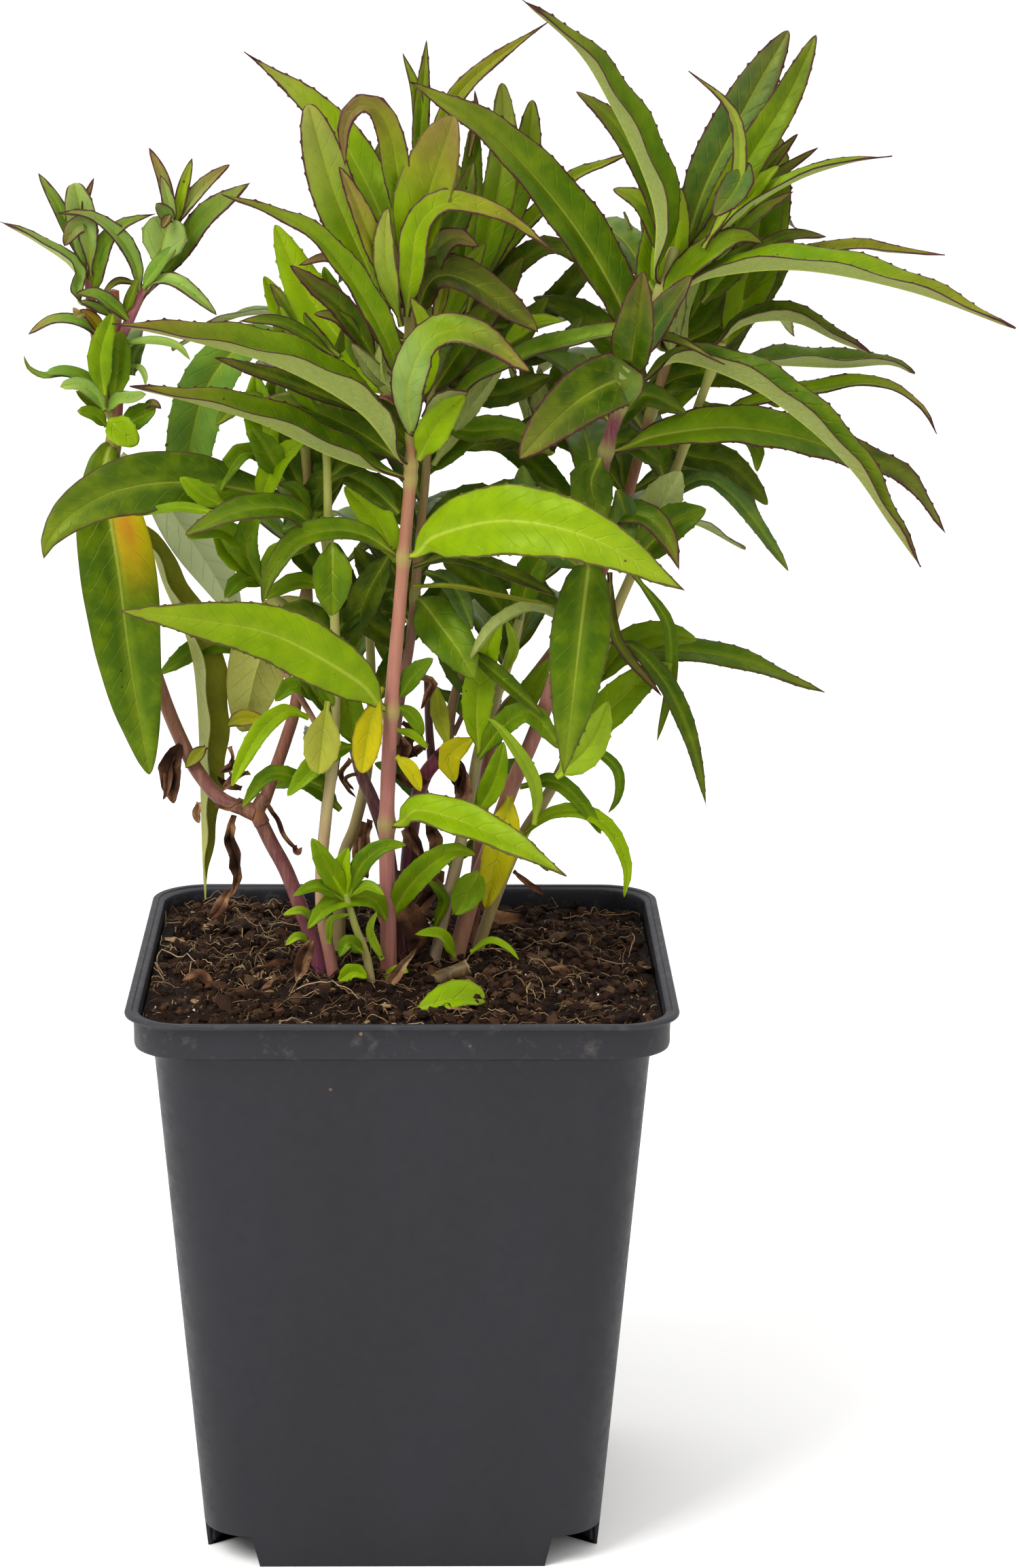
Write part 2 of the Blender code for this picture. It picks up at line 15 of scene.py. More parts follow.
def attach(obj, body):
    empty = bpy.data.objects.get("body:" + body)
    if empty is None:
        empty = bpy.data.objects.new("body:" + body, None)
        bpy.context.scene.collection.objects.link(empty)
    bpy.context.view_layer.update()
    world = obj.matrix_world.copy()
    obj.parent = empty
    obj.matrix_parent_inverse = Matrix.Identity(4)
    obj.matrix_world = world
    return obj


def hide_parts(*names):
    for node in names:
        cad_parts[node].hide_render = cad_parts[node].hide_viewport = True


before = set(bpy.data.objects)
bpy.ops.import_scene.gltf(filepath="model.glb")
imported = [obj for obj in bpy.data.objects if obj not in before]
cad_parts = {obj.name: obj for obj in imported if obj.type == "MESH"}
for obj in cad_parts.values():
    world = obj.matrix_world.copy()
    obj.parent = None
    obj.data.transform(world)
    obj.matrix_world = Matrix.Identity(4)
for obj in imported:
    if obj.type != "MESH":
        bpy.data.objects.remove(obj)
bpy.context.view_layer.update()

# %% [markdown]
# ## Where things are
# All sizes below are in millimetres and become metres when a mesh is made. Stems and leaves are laid out
# as on a drawing: across and up on an upright sheet through the middle of the pot, plus how far back each
# point lies. The drawing is seen from one eye point, so a point further back moves along its sight line.
# Keeping this layout the same as in the CAD part puts every finer piece on its solid.

# %% Layout: from the drawing sheet to the object
MM = 0.001
EYE = np.array([5.0, -831.0, 351.0])
UP = np.array([0.0, 0.0, 1.0])


def place(points):
    """Sheet points (across, up, back) to (x, y, z): each slides along the line from the eye through its
    place on the sheet until it lies 'back' behind the sheet."""
    across, up, back = np.asarray(points, float).T
    stretch = (back - EYE[1]) / -EYE[1]
    return np.stack([EYE[0] + (across - EYE[0]) * stretch, back, EYE[2] + (up - EYE[2]) * stretch], axis=1)


def unit(vectors):
    """Each vector divided by its own length."""
    return vectors / np.linalg.norm(vectors, axis=-1, keepdims=True)


def smooth_line(knots, shares):
    """A Catmull-Rom curve through the knots, read at shares of its length from 0 to 1."""
    knots = np.asarray(knots, float)
    padded = np.vstack([2 * knots[0] - knots[1], knots, 2 * knots[-1] - knots[-2]])
    u = np.linspace(0, 1, 16, endpoint=False)[None, :, None]
    a, b, c, d = (padded[i:len(knots) - 1 + i][:, None, :] for i in range(4))
    fine = 0.5 * (2 * b + (c - a) * u + (2 * a - 5 * b + 4 * c - d) * u**2 + (3 * b - a - 3 * c + d) * u**3)
    fine = np.vstack([fine.reshape(-1, 3), knots[-1]])
    run = np.concatenate([[0], np.cumsum(np.linalg.norm(np.diff(fine, axis=0), axis=1))])
    return np.stack([np.interp(np.asarray(shares) * run[-1], run, fine[:, k]) for k in range(3)], axis=1)


def length_of(line):
    """The length of a line of points."""
    return float(np.linalg.norm(np.diff(line, axis=0), axis=1).sum())


print("a point 20 mm back lands at", place([(40, 200, 20)])[0].round(2))

# %% [markdown]
# ## Camera, floor and light
# The picture is taken from a little above, from the front, with a long lens, on a plain pale floor in soft
# light from everywhere and one large lamp up on the left. Soft light is best made with a bright even
# world, because it reaches between the leaves, and one area lamp gives the leaves their shine.

# %% Camera
YAW, PITCH, ROLL = (math.radians(angle) for angle in (1.16, 13.23, 0.35))
ahead = np.array([math.sin(YAW) * math.cos(PITCH), math.cos(YAW) * math.cos(PITCH), -math.sin(PITCH)])
level = np.array([math.cos(YAW), -math.sin(YAW), 0.0])
right = level * math.cos(ROLL) + np.cross(level, ahead) * math.sin(ROLL)
camera_data = bpy.data.cameras.new("camera")
camera_data.lens = 95.0
camera_data.sensor_width = 36.0
camera_data.clip_start = 0.01
camera = bpy.data.objects.new("camera", camera_data)
turn = np.eye(4)
turn[:3, 0], turn[:3, 1], turn[:3, 2], turn[:3, 3] = right, np.cross(right, ahead), -ahead, EYE * MM
camera.matrix_world = Matrix(turn.tolist())
bpy.context.scene.collection.objects.link(camera)
bpy.context.scene.camera = camera
print("camera at", [round(v * MM, 3) for v in EYE])


# %% [markdown]
# ## Helpers for finishes
# Every finish is a Principled shader whose colour, roughness and bumps come from small node graphs. One
# function adds any node with its settings and links, so a graph reads from top to bottom like sums.

# %% Colour and node helpers
def linear(code, alpha=1.0):
    """An sRGB hex colour as linear red, green, blue and alpha."""
    parts = [int(code[i:i + 2], 16) / 255 for i in (1, 3, 5)]
    return (*(c / 12.92 if c <= 0.04045 else ((c + 0.055) / 1.055) ** 2.4 for c in parts), alpha)


def add_node(material, kind, *values, out=None, **named):
    """Adds one shader node. Values fill its inputs in use, in order. Of the named ones, a capital name is
    an input and any other a setting. An input takes a plain value, or another node's output as a link.
    Gives the outputs named in 'out', or else the first one in use."""
    made = material.node_tree.nodes.new("ShaderNode" + kind)
    for name, value in named.items():
        if name.islower():
            setattr(made, name, value)
    pairs = list(zip([socket for socket in made.inputs if socket.enabled], values))
    pairs += [(made.inputs[name], value) for name, value in named.items() if not name.islower()]
    for socket, value in pairs:
        if isinstance(value, bpy.types.NodeSocket):
            material.node_tree.links.new(value, socket)
        else:
            socket.default_value = value
    if out is None:
        return next(socket for socket in made.outputs if socket.enabled)
    found = [made.outputs[name] for name in out.split()]
    return found if len(found) > 1 else found[0]


def new_material(name, **inputs):
    """A material with one Principled shader and its settings; spaces in input names are underscores."""
    made = bpy.data.materials.new(name)
    made.use_nodes = True
    shader = made.node_tree.nodes["Principled BSDF"]
    for key, value in inputs.items():
        shader.inputs[key.replace("_", " ")].default_value = value
    return made


def shader_input(material, name, socket):
    """Links a socket to one of the material's shader inputs."""
    shader = material.node_tree.nodes["Principled BSDF"]
    material.node_tree.links.new(socket, shader.inputs[name])


def pattern(material, size_mm, detail=3.0, stretch=(1, 1, 1), rough=0.55, offset=0.0):
    """A noise pattern on the object's own coordinates whose blotches are about size_mm across."""
    place_on = add_node(material, "Mapping", add_node(material, "TexCoord", out="Object"), (offset,) * 3,
                        Scale=stretch)
    return add_node(material, "TexNoise", place_on, Scale=1 / (size_mm * MM), Detail=detail,
                    Roughness=rough)


# Settings that most of the nodes share: a product, a range with soft ends, and a mix of two colours.
TIMES = {"operation": "MULTIPLY"}
SOFT = {"interpolation_type": "SMOOTHSTEP"}
COLOURS = {"data_type": "RGBA"}
print("helpers ready, for example white is", linear("#ffffff"))

# %% [markdown]
# The floor is a large pale sheet, and the light is a white world, a little darker below the horizon, with
# two square lamps. The key lamp stands up on the left and the weak one on the right.

# %% Floor and light
LAMPS = (("key_lamp", (-0.75, -0.75, 1.15), 0.7, 20.0), ("fill_lamp", (0.9, -0.9, 0.7), 0.9, 2.0))
LAMP_AIM = np.array([0.0, 0.0, 0.16])
FLOOR_HALF = 60
world = bpy.data.worlds.new("soft_light")
world.use_nodes = True
node = partial(add_node, world)
towards = node("SeparateXYZ", node("TexCoord", out="Generated"), out="Z")
sky = node("Mix", node("MapRange", towards, -0.1, 0.9, **SOFT), (0.42, 0.42, 0.43, 1), (1.0, 1.0, 1.0, 1),
           **COLOURS)
world.node_tree.links.new(sky, world.node_tree.nodes["Background"].inputs["Color"])
world.node_tree.nodes["Background"].inputs["Strength"].default_value = 1.35
bpy.context.scene.world = world
bpy.context.scene.view_settings.view_transform = "Standard"

floor_mesh = bpy.data.meshes.new("floor")
floor_corners = [(-FLOOR_HALF, -FLOOR_HALF, 0), (FLOOR_HALF, -FLOOR_HALF, 0), (FLOOR_HALF, FLOOR_HALF, 0),
                 (-FLOOR_HALF, FLOOR_HALF, 0)]
floor_mesh.from_pydata(floor_corners, [], [(0, 1, 2, 3)])
floor = bpy.data.objects.new("floor", floor_mesh)
bpy.context.scene.collection.objects.link(floor)
floor_mesh.materials.append(new_material("pale_floor", Base_Color=linear("#f8f7f5"), Roughness=0.7))

for name, spot, size, power in LAMPS:
    lamp_data = bpy.data.lights.new(name, "AREA")
    lamp_data.size = size
    lamp_data.energy = power
    lamp = bpy.data.objects.new(name, lamp_data)
    aim = unit(LAMP_AIM - np.array(spot))
    across = unit(np.cross(aim, UP))
    turn = np.eye(4)
    turn[:3, 0], turn[:3, 1], turn[:3, 2], turn[:3, 3] = across, np.cross(across, aim), -aim, spot
    lamp.matrix_world = Matrix(turn.tolist())
    bpy.context.scene.collection.objects.link(lamp)
print("lamps", len(LAMPS))

# %% [markdown]
# ## Shapes as grids
# Every new piece here is made of grids of points. A solid sheet, such as a leaf, is two grids, an upper and
# a lower one, stitched round their edge. A tube, such as a stem, is rings along a line, closed at its ends.
# A shape is kept as points, faces and named values on the points, so that many can be joined in one piece.


# %% Grids and closed sheets
def grid_faces(rows, columns, first=0, wrap=False):
    """Quads over a grid of rows by columns; wrap joins the last column to the first."""
    i, j = np.meshgrid(np.arange(rows - 1), np.arange(columns if wrap else columns - 1), indexing="ij")
    k = (j + 1) % columns
    low, high = i * columns, (i + 1) * columns
    return np.stack([low + j, low + k, high + k, high + j], axis=-1).reshape(-1, 4) + first


def strip_faces(first_edge, second_edge):
    """Quads between two rows of point numbers of equal length."""
    return np.stack([first_edge[:-1], first_edge[1:], second_edge[1:], second_edge[:-1]], axis=1)


def shell(top, bottom, values):
    """A closed sheet from two grids (rows, columns, 3), with values given as grids for both sides."""
    rows, columns = top.shape[:2]
    count = rows * columns
    number = np.arange(count).reshape(rows, columns)
    faces = [grid_faces(rows, columns), grid_faces(rows, columns, count)[:, ::-1]]
    edges = ((number[:, 0], False), (number[:, -1], True), (number[0], True), (number[-1], False))
    for edge, flip in edges:
        quads = strip_faces(edge, edge + count)
        faces.append(quads[:, ::-1] if flip else quads)
    points = np.concatenate([top.reshape(-1, 3), bottom.reshape(-1, 3)])
    return {"points": points, "quads": np.vstack(faces), "tris": np.empty((0, 3), int),
            "values": {key: np.concatenate([np.asarray(v, float).reshape(count, -1) for v in both])
                       for key, both in values.items()}}


print("a grid of 3 by 3 points has", len(grid_faces(3, 3)), "quads")

# %% [markdown]
# A tube needs a frame along its line. A fixed hint made square to the line is enough for stems, roots and
# fibres, which never turn back on themselves, and it keeps rings from twisting.

# %% Tubes

def end_fans(rows, columns):
    """Triangles that close the first and the last ring to two middle points, which follow the grid."""
    around, last = np.arange(columns), (rows - 1) * columns
    low = np.stack([np.full(columns, rows * columns), (around + 1) % columns, around], axis=1)
    high = [np.full(columns, rows * columns + 1), last + around, last + (around + 1) % columns]
    return np.vstack([low, np.stack(high, axis=1)])


def tube(line, radii, sides=10, hint=(1.0, 0.0, 0.0), values=None, bulge=None):
    """Rings round a line: point(i, k) = line(i) + radius(i)·(cos·beside + sin·across), with 'beside' the
    hint made square to the line. Values are one row per ring. The ends close in a fan."""
    line, radii = np.asarray(line, float), np.asarray(radii, float)
    forward = unit(np.gradient(line, axis=0))
    hint = np.broadcast_to(np.asarray(hint, float), line.shape)
    beside = unit(hint - forward * (hint * forward).sum(axis=1, keepdims=True))
    across = np.cross(forward, beside)
    turns = np.arange(sides) * 2 * math.pi / sides
    reach = radii[:, None] * (1 if bulge is None else bulge)
    ring = (beside[:, None] * np.cos(turns)[:, None] + across[:, None] * np.sin(turns)[:, None])
    points = line[:, None] + ring * (np.ones((1, sides)) * reach)[..., None]
    rows = len(line)
    ends = np.stack([line[0] - forward[0] * radii[0] * 0.3, line[-1] + forward[-1] * radii[-1] * 0.3])
    made = {}
    for key, value in (values or {}).items():
        value = np.asarray(value, float).reshape(rows, -1)
        made[key] = np.vstack([np.repeat(value, sides, axis=0), value[:1], value[-1:]])
    return {"points": np.vstack([points.reshape(-1, 3), ends]), "quads": grid_faces(rows, sides, wrap=True),
            "tris": end_fans(rows, sides), "values": made}


print("a tube of 5 rings has", len(end_fans(5, 10)), "triangles at its ends")

# %% [markdown]
# A piece is a Blender mesh filled from the arrays in a few calls. Its named values become attributes that
# materials read. It rides on the plant's only body and may take the place of a solid.

# %% Joined shapes and pieces
def join(shapes):
    """Many shapes as one, with the same named values."""
    starts = np.cumsum([0] + [len(shape["points"]) for shape in shapes])
    keys = shapes[0]["values"]
    return {
        "points": np.vstack([shape["points"] for shape in shapes]),
        "quads": np.vstack([shape["quads"] + start for shape, start in zip(shapes, starts)]),
        "tris": np.vstack([shape["tris"] + start for shape, start in zip(shapes, starts)]),
        "values": {key: np.vstack([shape["values"][key] for shape in shapes]) for key in keys},
    }


made_triangles = {}


def piece(name, shape, material, replaces=(), sharp=50.0):
    """Makes the shape a Blender object at the origin, riding on the plant's only body."""
    quads, tris = shape["quads"], shape["tris"]
    mesh = bpy.data.meshes.new(name)
    mesh.vertices.add(len(shape["points"]))
    mesh.vertices.foreach_set("co", (shape["points"] * MM).astype(np.float32).ravel())
    corners = np.concatenate([quads.ravel(), tris.ravel()]).astype(np.int32)
    mesh.loops.add(len(corners))
    mesh.loops.foreach_set("vertex_index", corners)
    starts = np.concatenate([np.arange(len(quads)) * 4, len(quads) * 4 + np.arange(len(tris)) * 3])
    mesh.polygons.add(len(starts))
    mesh.polygons.foreach_set("loop_start", starts.astype(np.int32))
    mesh.update(calc_edges=True)
    mesh.validate()
    for key, value in shape["values"].items():
        kind = {1: "FLOAT", 3: "FLOAT_VECTOR", 4: "FLOAT_COLOR"}[value.shape[1]]
        field = {1: "value", 3: "vector", 4: "color"}[value.shape[1]]
        mesh.attributes.new(key, kind, "POINT").data.foreach_set(field, value.astype(np.float32).ravel())
    mesh.materials.append(material)
    mesh.shade_smooth()
    mesh.set_sharp_from_angle(angle=math.radians(sharp))
    made = bpy.data.objects.new(name, mesh)
    bpy.context.scene.collection.objects.link(made)
    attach(made, "root")
    if replaces:
        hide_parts(*replaces)
    made_triangles[name] = 2 * len(quads) + len(tris)
    return made


print("pieces so far", len(made_triangles))


# %% [markdown]
# ## The pot
# The pot is moulded in one go from dark grey polypropylene: a tapered body with soft corners, a straight
# band and a turned-out lip. At its four lower corners the base steps up round a slanting wall with a drain
# hole, so the flat sides end in feet. It is made as one grid: an outline is carried along a profile that
# runs up the outside, over the lip and down the inside. Each outline has the same number of points, so the
# stepped foot can turn into the plain rounded square in one row.

# %% The pot's outlines
POT_HEIGHT, LIP_HALF, LIP_CORNER = 120.0, 55.0, 12.0
BAND_HALF, BAND_LOW = 53.2, 112.0
BODY_TOP_HALF, BODY_FOOT_HALF, BODY_CORNER = 49.6, 40.4, 10.4
WALL = 1.0
STEP_HEIGHT = 6.8
TAB_TOP, TAB_END = 30.8, 29.2
STEP_OUT, STEP_LONG, STEP_SHORT = 40.0, 32.5, 19.0
ARC_STEPS = 16


def four_quarters(quarter):
    """A quarter outline (points, 2) turned round the middle four times."""
    turns = np.arange(4) * math.pi / 2
    spin = np.stack([np.cos(turns), -np.sin(turns), np.sin(turns), np.cos(turns)], axis=1).reshape(4, 2, 2)
    return np.einsum("qij,pj->qpi", spin, quarter).reshape(-1, 2)


def soft_square(half, corner, tab=TAB_TOP):
    """A square's outline with round corners; each side also has a point at its foot tab's end."""
    turns = np.linspace(0, math.pi / 2, ARC_STEPS + 1)
    arc = half - corner + corner * np.stack([np.cos(turns), np.sin(turns)], axis=1)
    tab = min(tab, half - corner - 0.2)
    return four_quarters(np.vstack([[half, tab], arc, [tab, half]]))


def stepped_square(half, tab, grow=0.0):
    """The outline of the foot, where each corner is cut back in two steps and a slant; grow widens the cut,
    for the wall's inner side."""
    out, long, short = STEP_OUT - grow, STEP_LONG - grow * 0.7, STEP_SHORT - grow * 0.7
    tab = tab - grow
    corners = np.array([[half, tab], [out, tab], [long, short], [short, long], [tab, out], [tab, half]])
    steps = np.concatenate([np.linspace(0, 1, 4)[:-1], 1 + np.linspace(0, 1, 5)[:-1],
                            2 + np.linspace(0, 1, 5)[:-1], 3 + np.linspace(0, 1, 5)[:-1],
                            4 + np.linspace(0, 1, 4)])
    return four_quarters(np.stack([np.interp(steps, np.arange(6), corners[:, k]) for k in (0, 1)], axis=1))


print("points on an outline", len(soft_square(LIP_HALF, LIP_CORNER)))

# %% [markdown]
# The profile is a list of rings from the foot up, over the lip and down the inside. Rings lie close where
# it bends tightly, as at the lip, and far apart where it is straight.

# %% The pot's rings
def body_half(height):
    """Half the body's width: it widens evenly from the foot to the band."""
    return BODY_FOOT_HALF + (BODY_TOP_HALF - BODY_FOOT_HALF) * height / BAND_LOW


foot_tab = TAB_END + (TAB_TOP - TAB_END) * np.array([0.0, 0.5, 1.0])
rings = [(stepped_square(body_half(z), tab), z) for z, tab in zip((0.0, 3.4, STEP_HEIGHT), foot_tab)]
rings += [(soft_square(body_half(z), BODY_CORNER), z) for z in np.linspace(STEP_HEIGHT, BAND_LOW - 0.6, 16)]
# The profile up the outside, over the lip and down to the inside: half width, corner radius, height.
outside = [
    (BODY_TOP_HALF + 0.15, BODY_CORNER, BAND_LOW - 0.2),
    (BODY_TOP_HALF + 0.7, BODY_CORNER + 0.3, BAND_LOW),
    (BAND_HALF - 0.8, LIP_CORNER - 1.0, BAND_LOW + 0.1),
    (BAND_HALF - 0.2, LIP_CORNER - 1.0, BAND_LOW + 0.5), (BAND_HALF, LIP_CORNER - 1.0, BAND_LOW + 1.2),
    (BAND_HALF, LIP_CORNER - 1.0, BAND_LOW + 4.0),
    (BAND_HALF + 0.1, LIP_CORNER - 1.0, POT_HEIGHT - 1.9),
    (BAND_HALF + 0.5, LIP_CORNER - 0.6, POT_HEIGHT - 1.4),
    (LIP_HALF - 0.4, LIP_CORNER, POT_HEIGHT - 1.2), (LIP_HALF - 0.1, LIP_CORNER, POT_HEIGHT - 0.95),
    (LIP_HALF, LIP_CORNER, POT_HEIGHT - 0.6), (LIP_HALF - 0.1, LIP_CORNER, POT_HEIGHT - 0.25),
    (LIP_HALF - 0.35, LIP_CORNER, POT_HEIGHT - 0.02), (LIP_HALF - 0.9, LIP_CORNER - 0.6, POT_HEIGHT),
    (LIP_HALF - 1.35, LIP_CORNER - 0.8, POT_HEIGHT - 0.05),
    (LIP_HALF - 1.55, LIP_CORNER - 0.9, POT_HEIGHT - 0.35),
    (LIP_HALF - 2.3, LIP_CORNER - 1.0, POT_HEIGHT - 0.45),
    (LIP_HALF - 2.6, LIP_CORNER - 1.0, POT_HEIGHT - 0.7),
    (LIP_HALF - 2.75, LIP_CORNER - 1.0, POT_HEIGHT - 1.2),
    (BAND_HALF - WALL, LIP_CORNER - 1.2, POT_HEIGHT - 4.0),
    (BAND_HALF - WALL, LIP_CORNER - 1.2, BAND_LOW + 1.6),
    (BODY_TOP_HALF - WALL, BODY_CORNER - WALL, BAND_LOW + 0.6),
]
rings += [(soft_square(half, corner), z) for half, corner, z in outside]
inner_top = STEP_HEIGHT + WALL
rings += [(soft_square(body_half(z) - WALL, BODY_CORNER - WALL), z) for z in (80.0, 40.0, inner_top)]
rings += [(stepped_square(body_half(z) - WALL, TAB_END + 0.8, WALL), z) for z in (inner_top, WALL)]
pot_points = np.stack([np.column_stack([outline, np.full(len(outline), z)]) for outline, z in rings])
print("pot grid", pot_points.shape)

# %% [markdown]
# Dark polypropylene straight from the mould is satin, not glossy: a fine spark-eroded grain scatters the
# light, the long sides show faint flow marks, and handling leaves dusty scuffs and specks of dried peat
# near the lip. The grain is drawn at 0.35 mm, a little coarser than real, so that it shows.

# %% Moulded polypropylene
pot_plastic = new_material("moulded_polypropylene", Roughness=0.46, IOR=1.49, Specular_IOR_Level=0.28)
node = partial(add_node, pot_plastic)
coordinates = node("TexCoord", out="Object")
height_mm = node("SeparateXYZ", coordinates, out="Z")
flow = pattern(pot_plastic, 26, 4.0, stretch=(1, 1, 0.35))
scuff = pattern(pot_plastic, 3.2, 5.0, rough=0.7)
grain = pattern(pot_plastic, 0.35, 2.0)
tint = node("Mix", node("MapRange", flow, 0.3, 0.7, **SOFT), linear("#18171c"), linear("#1c1b21"),
            **COLOURS)
near_lip = node("MapRange", height_mm, 0.104, 0.1195, **SOFT)
dust = node("Math", node("MapRange", scuff, 0.52, 0.75, **SOFT), near_lip, **TIMES)
tint = node("Mix", node("Math", dust, 0.35, **TIMES), tint, linear("#6a655f"), **COLOURS)
# Painted highlight: the top of the lip, above 119.2 mm, is mixed towards a lighter grey to stand in for the
# light it catches.
rim = node("MapRange", height_mm, 0.1184, 0.1192, **SOFT)
tint = node("Mix", node("Math", rim, 0.6, **TIMES), tint, linear("#2b2a30"), **COLOURS)
from_middle, cell_colour = node("TexVoronoi", coordinates, Scale=145.0, out="Distance Color")
speck = node("MapRange", from_middle, 0.065, 0.035, **SOFT)
chosen = node("MapRange", node("SeparateColor", cell_colour), 0.8, 0.82, **SOFT)
speck = node("Math", speck, chosen, **TIMES)
speck = node("Math", speck, node("MapRange", height_mm, 0.1, 0.112, **SOFT), **TIMES)
tint = node("Mix", speck, tint, linear("#8a6444"), **COLOURS)
shader_input(pot_plastic, "Base Color", tint)
shader_input(pot_plastic, "Roughness", node("MapRange", scuff, 0.3, 0.8, 0.42, 0.6, **SOFT))
bumped = node("Bump", Height=flow, Distance=0.25 * MM)
shader_input(pot_plastic, "Normal", node("Bump", Height=grain, Distance=0.02 * MM, Normal=bumped))
print(pot_plastic.name, len(pot_plastic.node_tree.nodes), "nodes")

# %% [markdown]
# The pot's grid is closed at both ends and becomes one piece. Each corner's slanting wall then gets its
# slot, cut with a box as a Boolean, because a hole through a closed grid is easier to cut than to draw.

# %% Pot piece
pot_rows, pot_columns = pot_points.shape[:2]
pot_quads = grid_faces(pot_rows, pot_columns, wrap=True)


def capped(shape_points, quads):
    """A carried outline closed at both ends by fans to the middle of its first and last ring."""
    middles = np.stack([shape_points[0].mean(axis=0), shape_points[-1].mean(axis=0)])
    return {"points": np.vstack([shape_points.reshape(-1, 3), middles]), "quads": quads,
            "tris": end_fans(*shape_points.shape[:2]), "values": {}}


pot_shape = capped(pot_points, pot_quads)
pot = piece("square_pot", pot_shape, pot_plastic, ["nursery_pot"], sharp=32)
BOX_FACES = [(3, 2, 1, 0), (4, 5, 6, 7), (0, 1, 5, 4), (1, 2, 6, 5), (2, 3, 7, 6), (3, 0, 4, 7)]
HOLE_HEIGHT, HOLE_HALF_WIDTH, HOLE_HALF_HEIGHT, HOLE_DEPTH = 4.2, 3.5, 1.8, 4
for quarter in range(4):
    turn = (quarter + 0.5) * math.pi / 2
    along = np.array([math.cos(turn), math.sin(turn), 0.0])
    beside = np.array([-math.sin(turn), math.cos(turn), 0.0])
    middle = along * (STEP_LONG + STEP_SHORT) / math.sqrt(2) + np.array([0.0, 0.0, HOLE_HEIGHT])
    hole = np.array([[middle + along * depth + beside * w * HOLE_HALF_WIDTH + UP * h * HOLE_HALF_HEIGHT
                      for w, h in ((-1, -1), (1, -1), (1, 1), (-1, 1))]
                     for depth in (-HOLE_DEPTH, HOLE_DEPTH)])
    cutter_mesh = bpy.data.meshes.new("drain_hole")
    cutter_mesh.from_pydata((hole.reshape(-1, 3) * MM).tolist(), [], BOX_FACES)
    cutter = bpy.data.objects.new("drain_hole", cutter_mesh)
    bpy.context.scene.collection.objects.link(cutter)
    cut = pot.modifiers.new("drain_hole", "BOOLEAN")
    cut.operation = "DIFFERENCE"
    cut.object = cutter
    with bpy.context.temp_override(object=pot, active_object=pot):
        bpy.ops.object.modifier_apply(modifier=cut.name)
    bpy.data.objects.remove(cutter)
    bpy.data.meshes.remove(cutter_mesh)
print("pot faces", len(pot.data.polygons))

# %% [markdown]
# ## The soil
# Potting soil is dark peat full of finer and coarser bits: crumbs, tan fibres, slivers of bark, hair-thin
# roots and a few pale grains of grit. The CAD root ball stays as the core with the peat finish. A fine
# relief covers its top: a disc of rings stretched to the pot's inside, raised by layers of value noise.
# Loose bits are scattered on it as small closed shapes, joined into one piece for each kind.

# %% The soil's level and relief
SOIL_EDGE, SOIL_MOUND, SOIL_DIP = 116.6, 1.6, 2.3


def soil_height(x, y):
    """The CAD soil's level: a low mound with slow waves, sinking towards the back right."""
    far = np.minimum(1.0, np.hypot(x, y) / 52)
    dip = SOIL_DIP * np.maximum(0.0, (x + y) / (2 * BAND_HALF)) ** 1.5
    waves = 0.5 * np.sin(x / 7.5 + 1.0) * np.cos(y / 6.3) * (1 - 0.5 * far)
    return SOIL_EDGE + SOIL_MOUND * (1 - far**2) - dip + waves


def value_noise(x, y, cell, seed):
    """Random heights on a lattice with a given cell, joined by smooth steps, from -1 to 1."""
    lattice = np.random.default_rng(seed).uniform(-1, 1, (256, 256))
    u, v = x / cell + 128, y / cell + 128
    i, j = np.floor(u).astype(int), np.floor(v).astype(int)
    s, t = u - i, v - j
    s, t = s * s * (3 - 2 * s), t * t * (3 - 2 * t)
    i, j = i % 255, j % 255
    low = lattice[i, j] * (1 - s) + lattice[i + 1, j] * s
    high = lattice[i, j + 1] * (1 - s) + lattice[i + 1, j + 1] * s
    return low * (1 - t) + high * t


def soil_top(x, y):
    """The visible surface: the CAD level plus clods, crumbs and grain of 6, 2.2, 1.1 and 0.6 mm."""
    rough = 0.9 * value_noise(x, y, 6.0, 1) + 0.9 * np.abs(value_noise(x, y, 2.2, 2))
    level = soil_height(x, y) + rough + 0.5 * value_noise(x, y, 1.1, 3)
    return level + 0.25 * value_noise(x, y, 0.6, 4) - 0.3


print("soil level in the middle", round(float(soil_height(0, 0)), 1))

# %% [markdown]
# The surface's outline is the pot's inside, a square with round corners. Smaller copies of it shrink to the
# middle, and a short skirt turns down at the edge, so the relief is closed.

# %% The soil's surface
SOIL_RINGS, SOIL_STEPS, SKIRT_LOW = 92, 26, 114.4
edge_quarter = np.linspace(0, 1, SOIL_STEPS, endpoint=False)[:, None]
half = BAND_HALF - WALL - 0.35
rim_corner = 9.6
flat_side = [half, -half + rim_corner] + edge_quarter * [0, 2 * (half - rim_corner)]
turns = edge_quarter * math.pi / 2
round_corner = half - rim_corner + rim_corner * np.hstack([np.cos(turns), np.sin(turns)])
soil_edge = four_quarters(np.vstack([flat_side, round_corner]))
spread = np.linspace(1, 0.004, SOIL_RINGS)
soil_xy = soil_edge[None] * spread[:, None, None]
soil_z = soil_top(soil_xy[..., 0], soil_xy[..., 1])
soil_grid = np.concatenate([soil_xy, soil_z[..., None]], axis=-1)
skirt = soil_grid[:1].copy()
skirt[..., 2] = SKIRT_LOW
floor_ring = skirt * [0.5, 0.5, 1]
soil_grid = np.concatenate([floor_ring, skirt, soil_grid])
print("soil grid", soil_grid.shape)

# %% [markdown]
# Damp peat is nearly black with brown lumps and pale fibres. Three noise patterns of falling size mix in
# lighter browns, and the finest one also roughens the surface, so the soil glints only where it is wet.

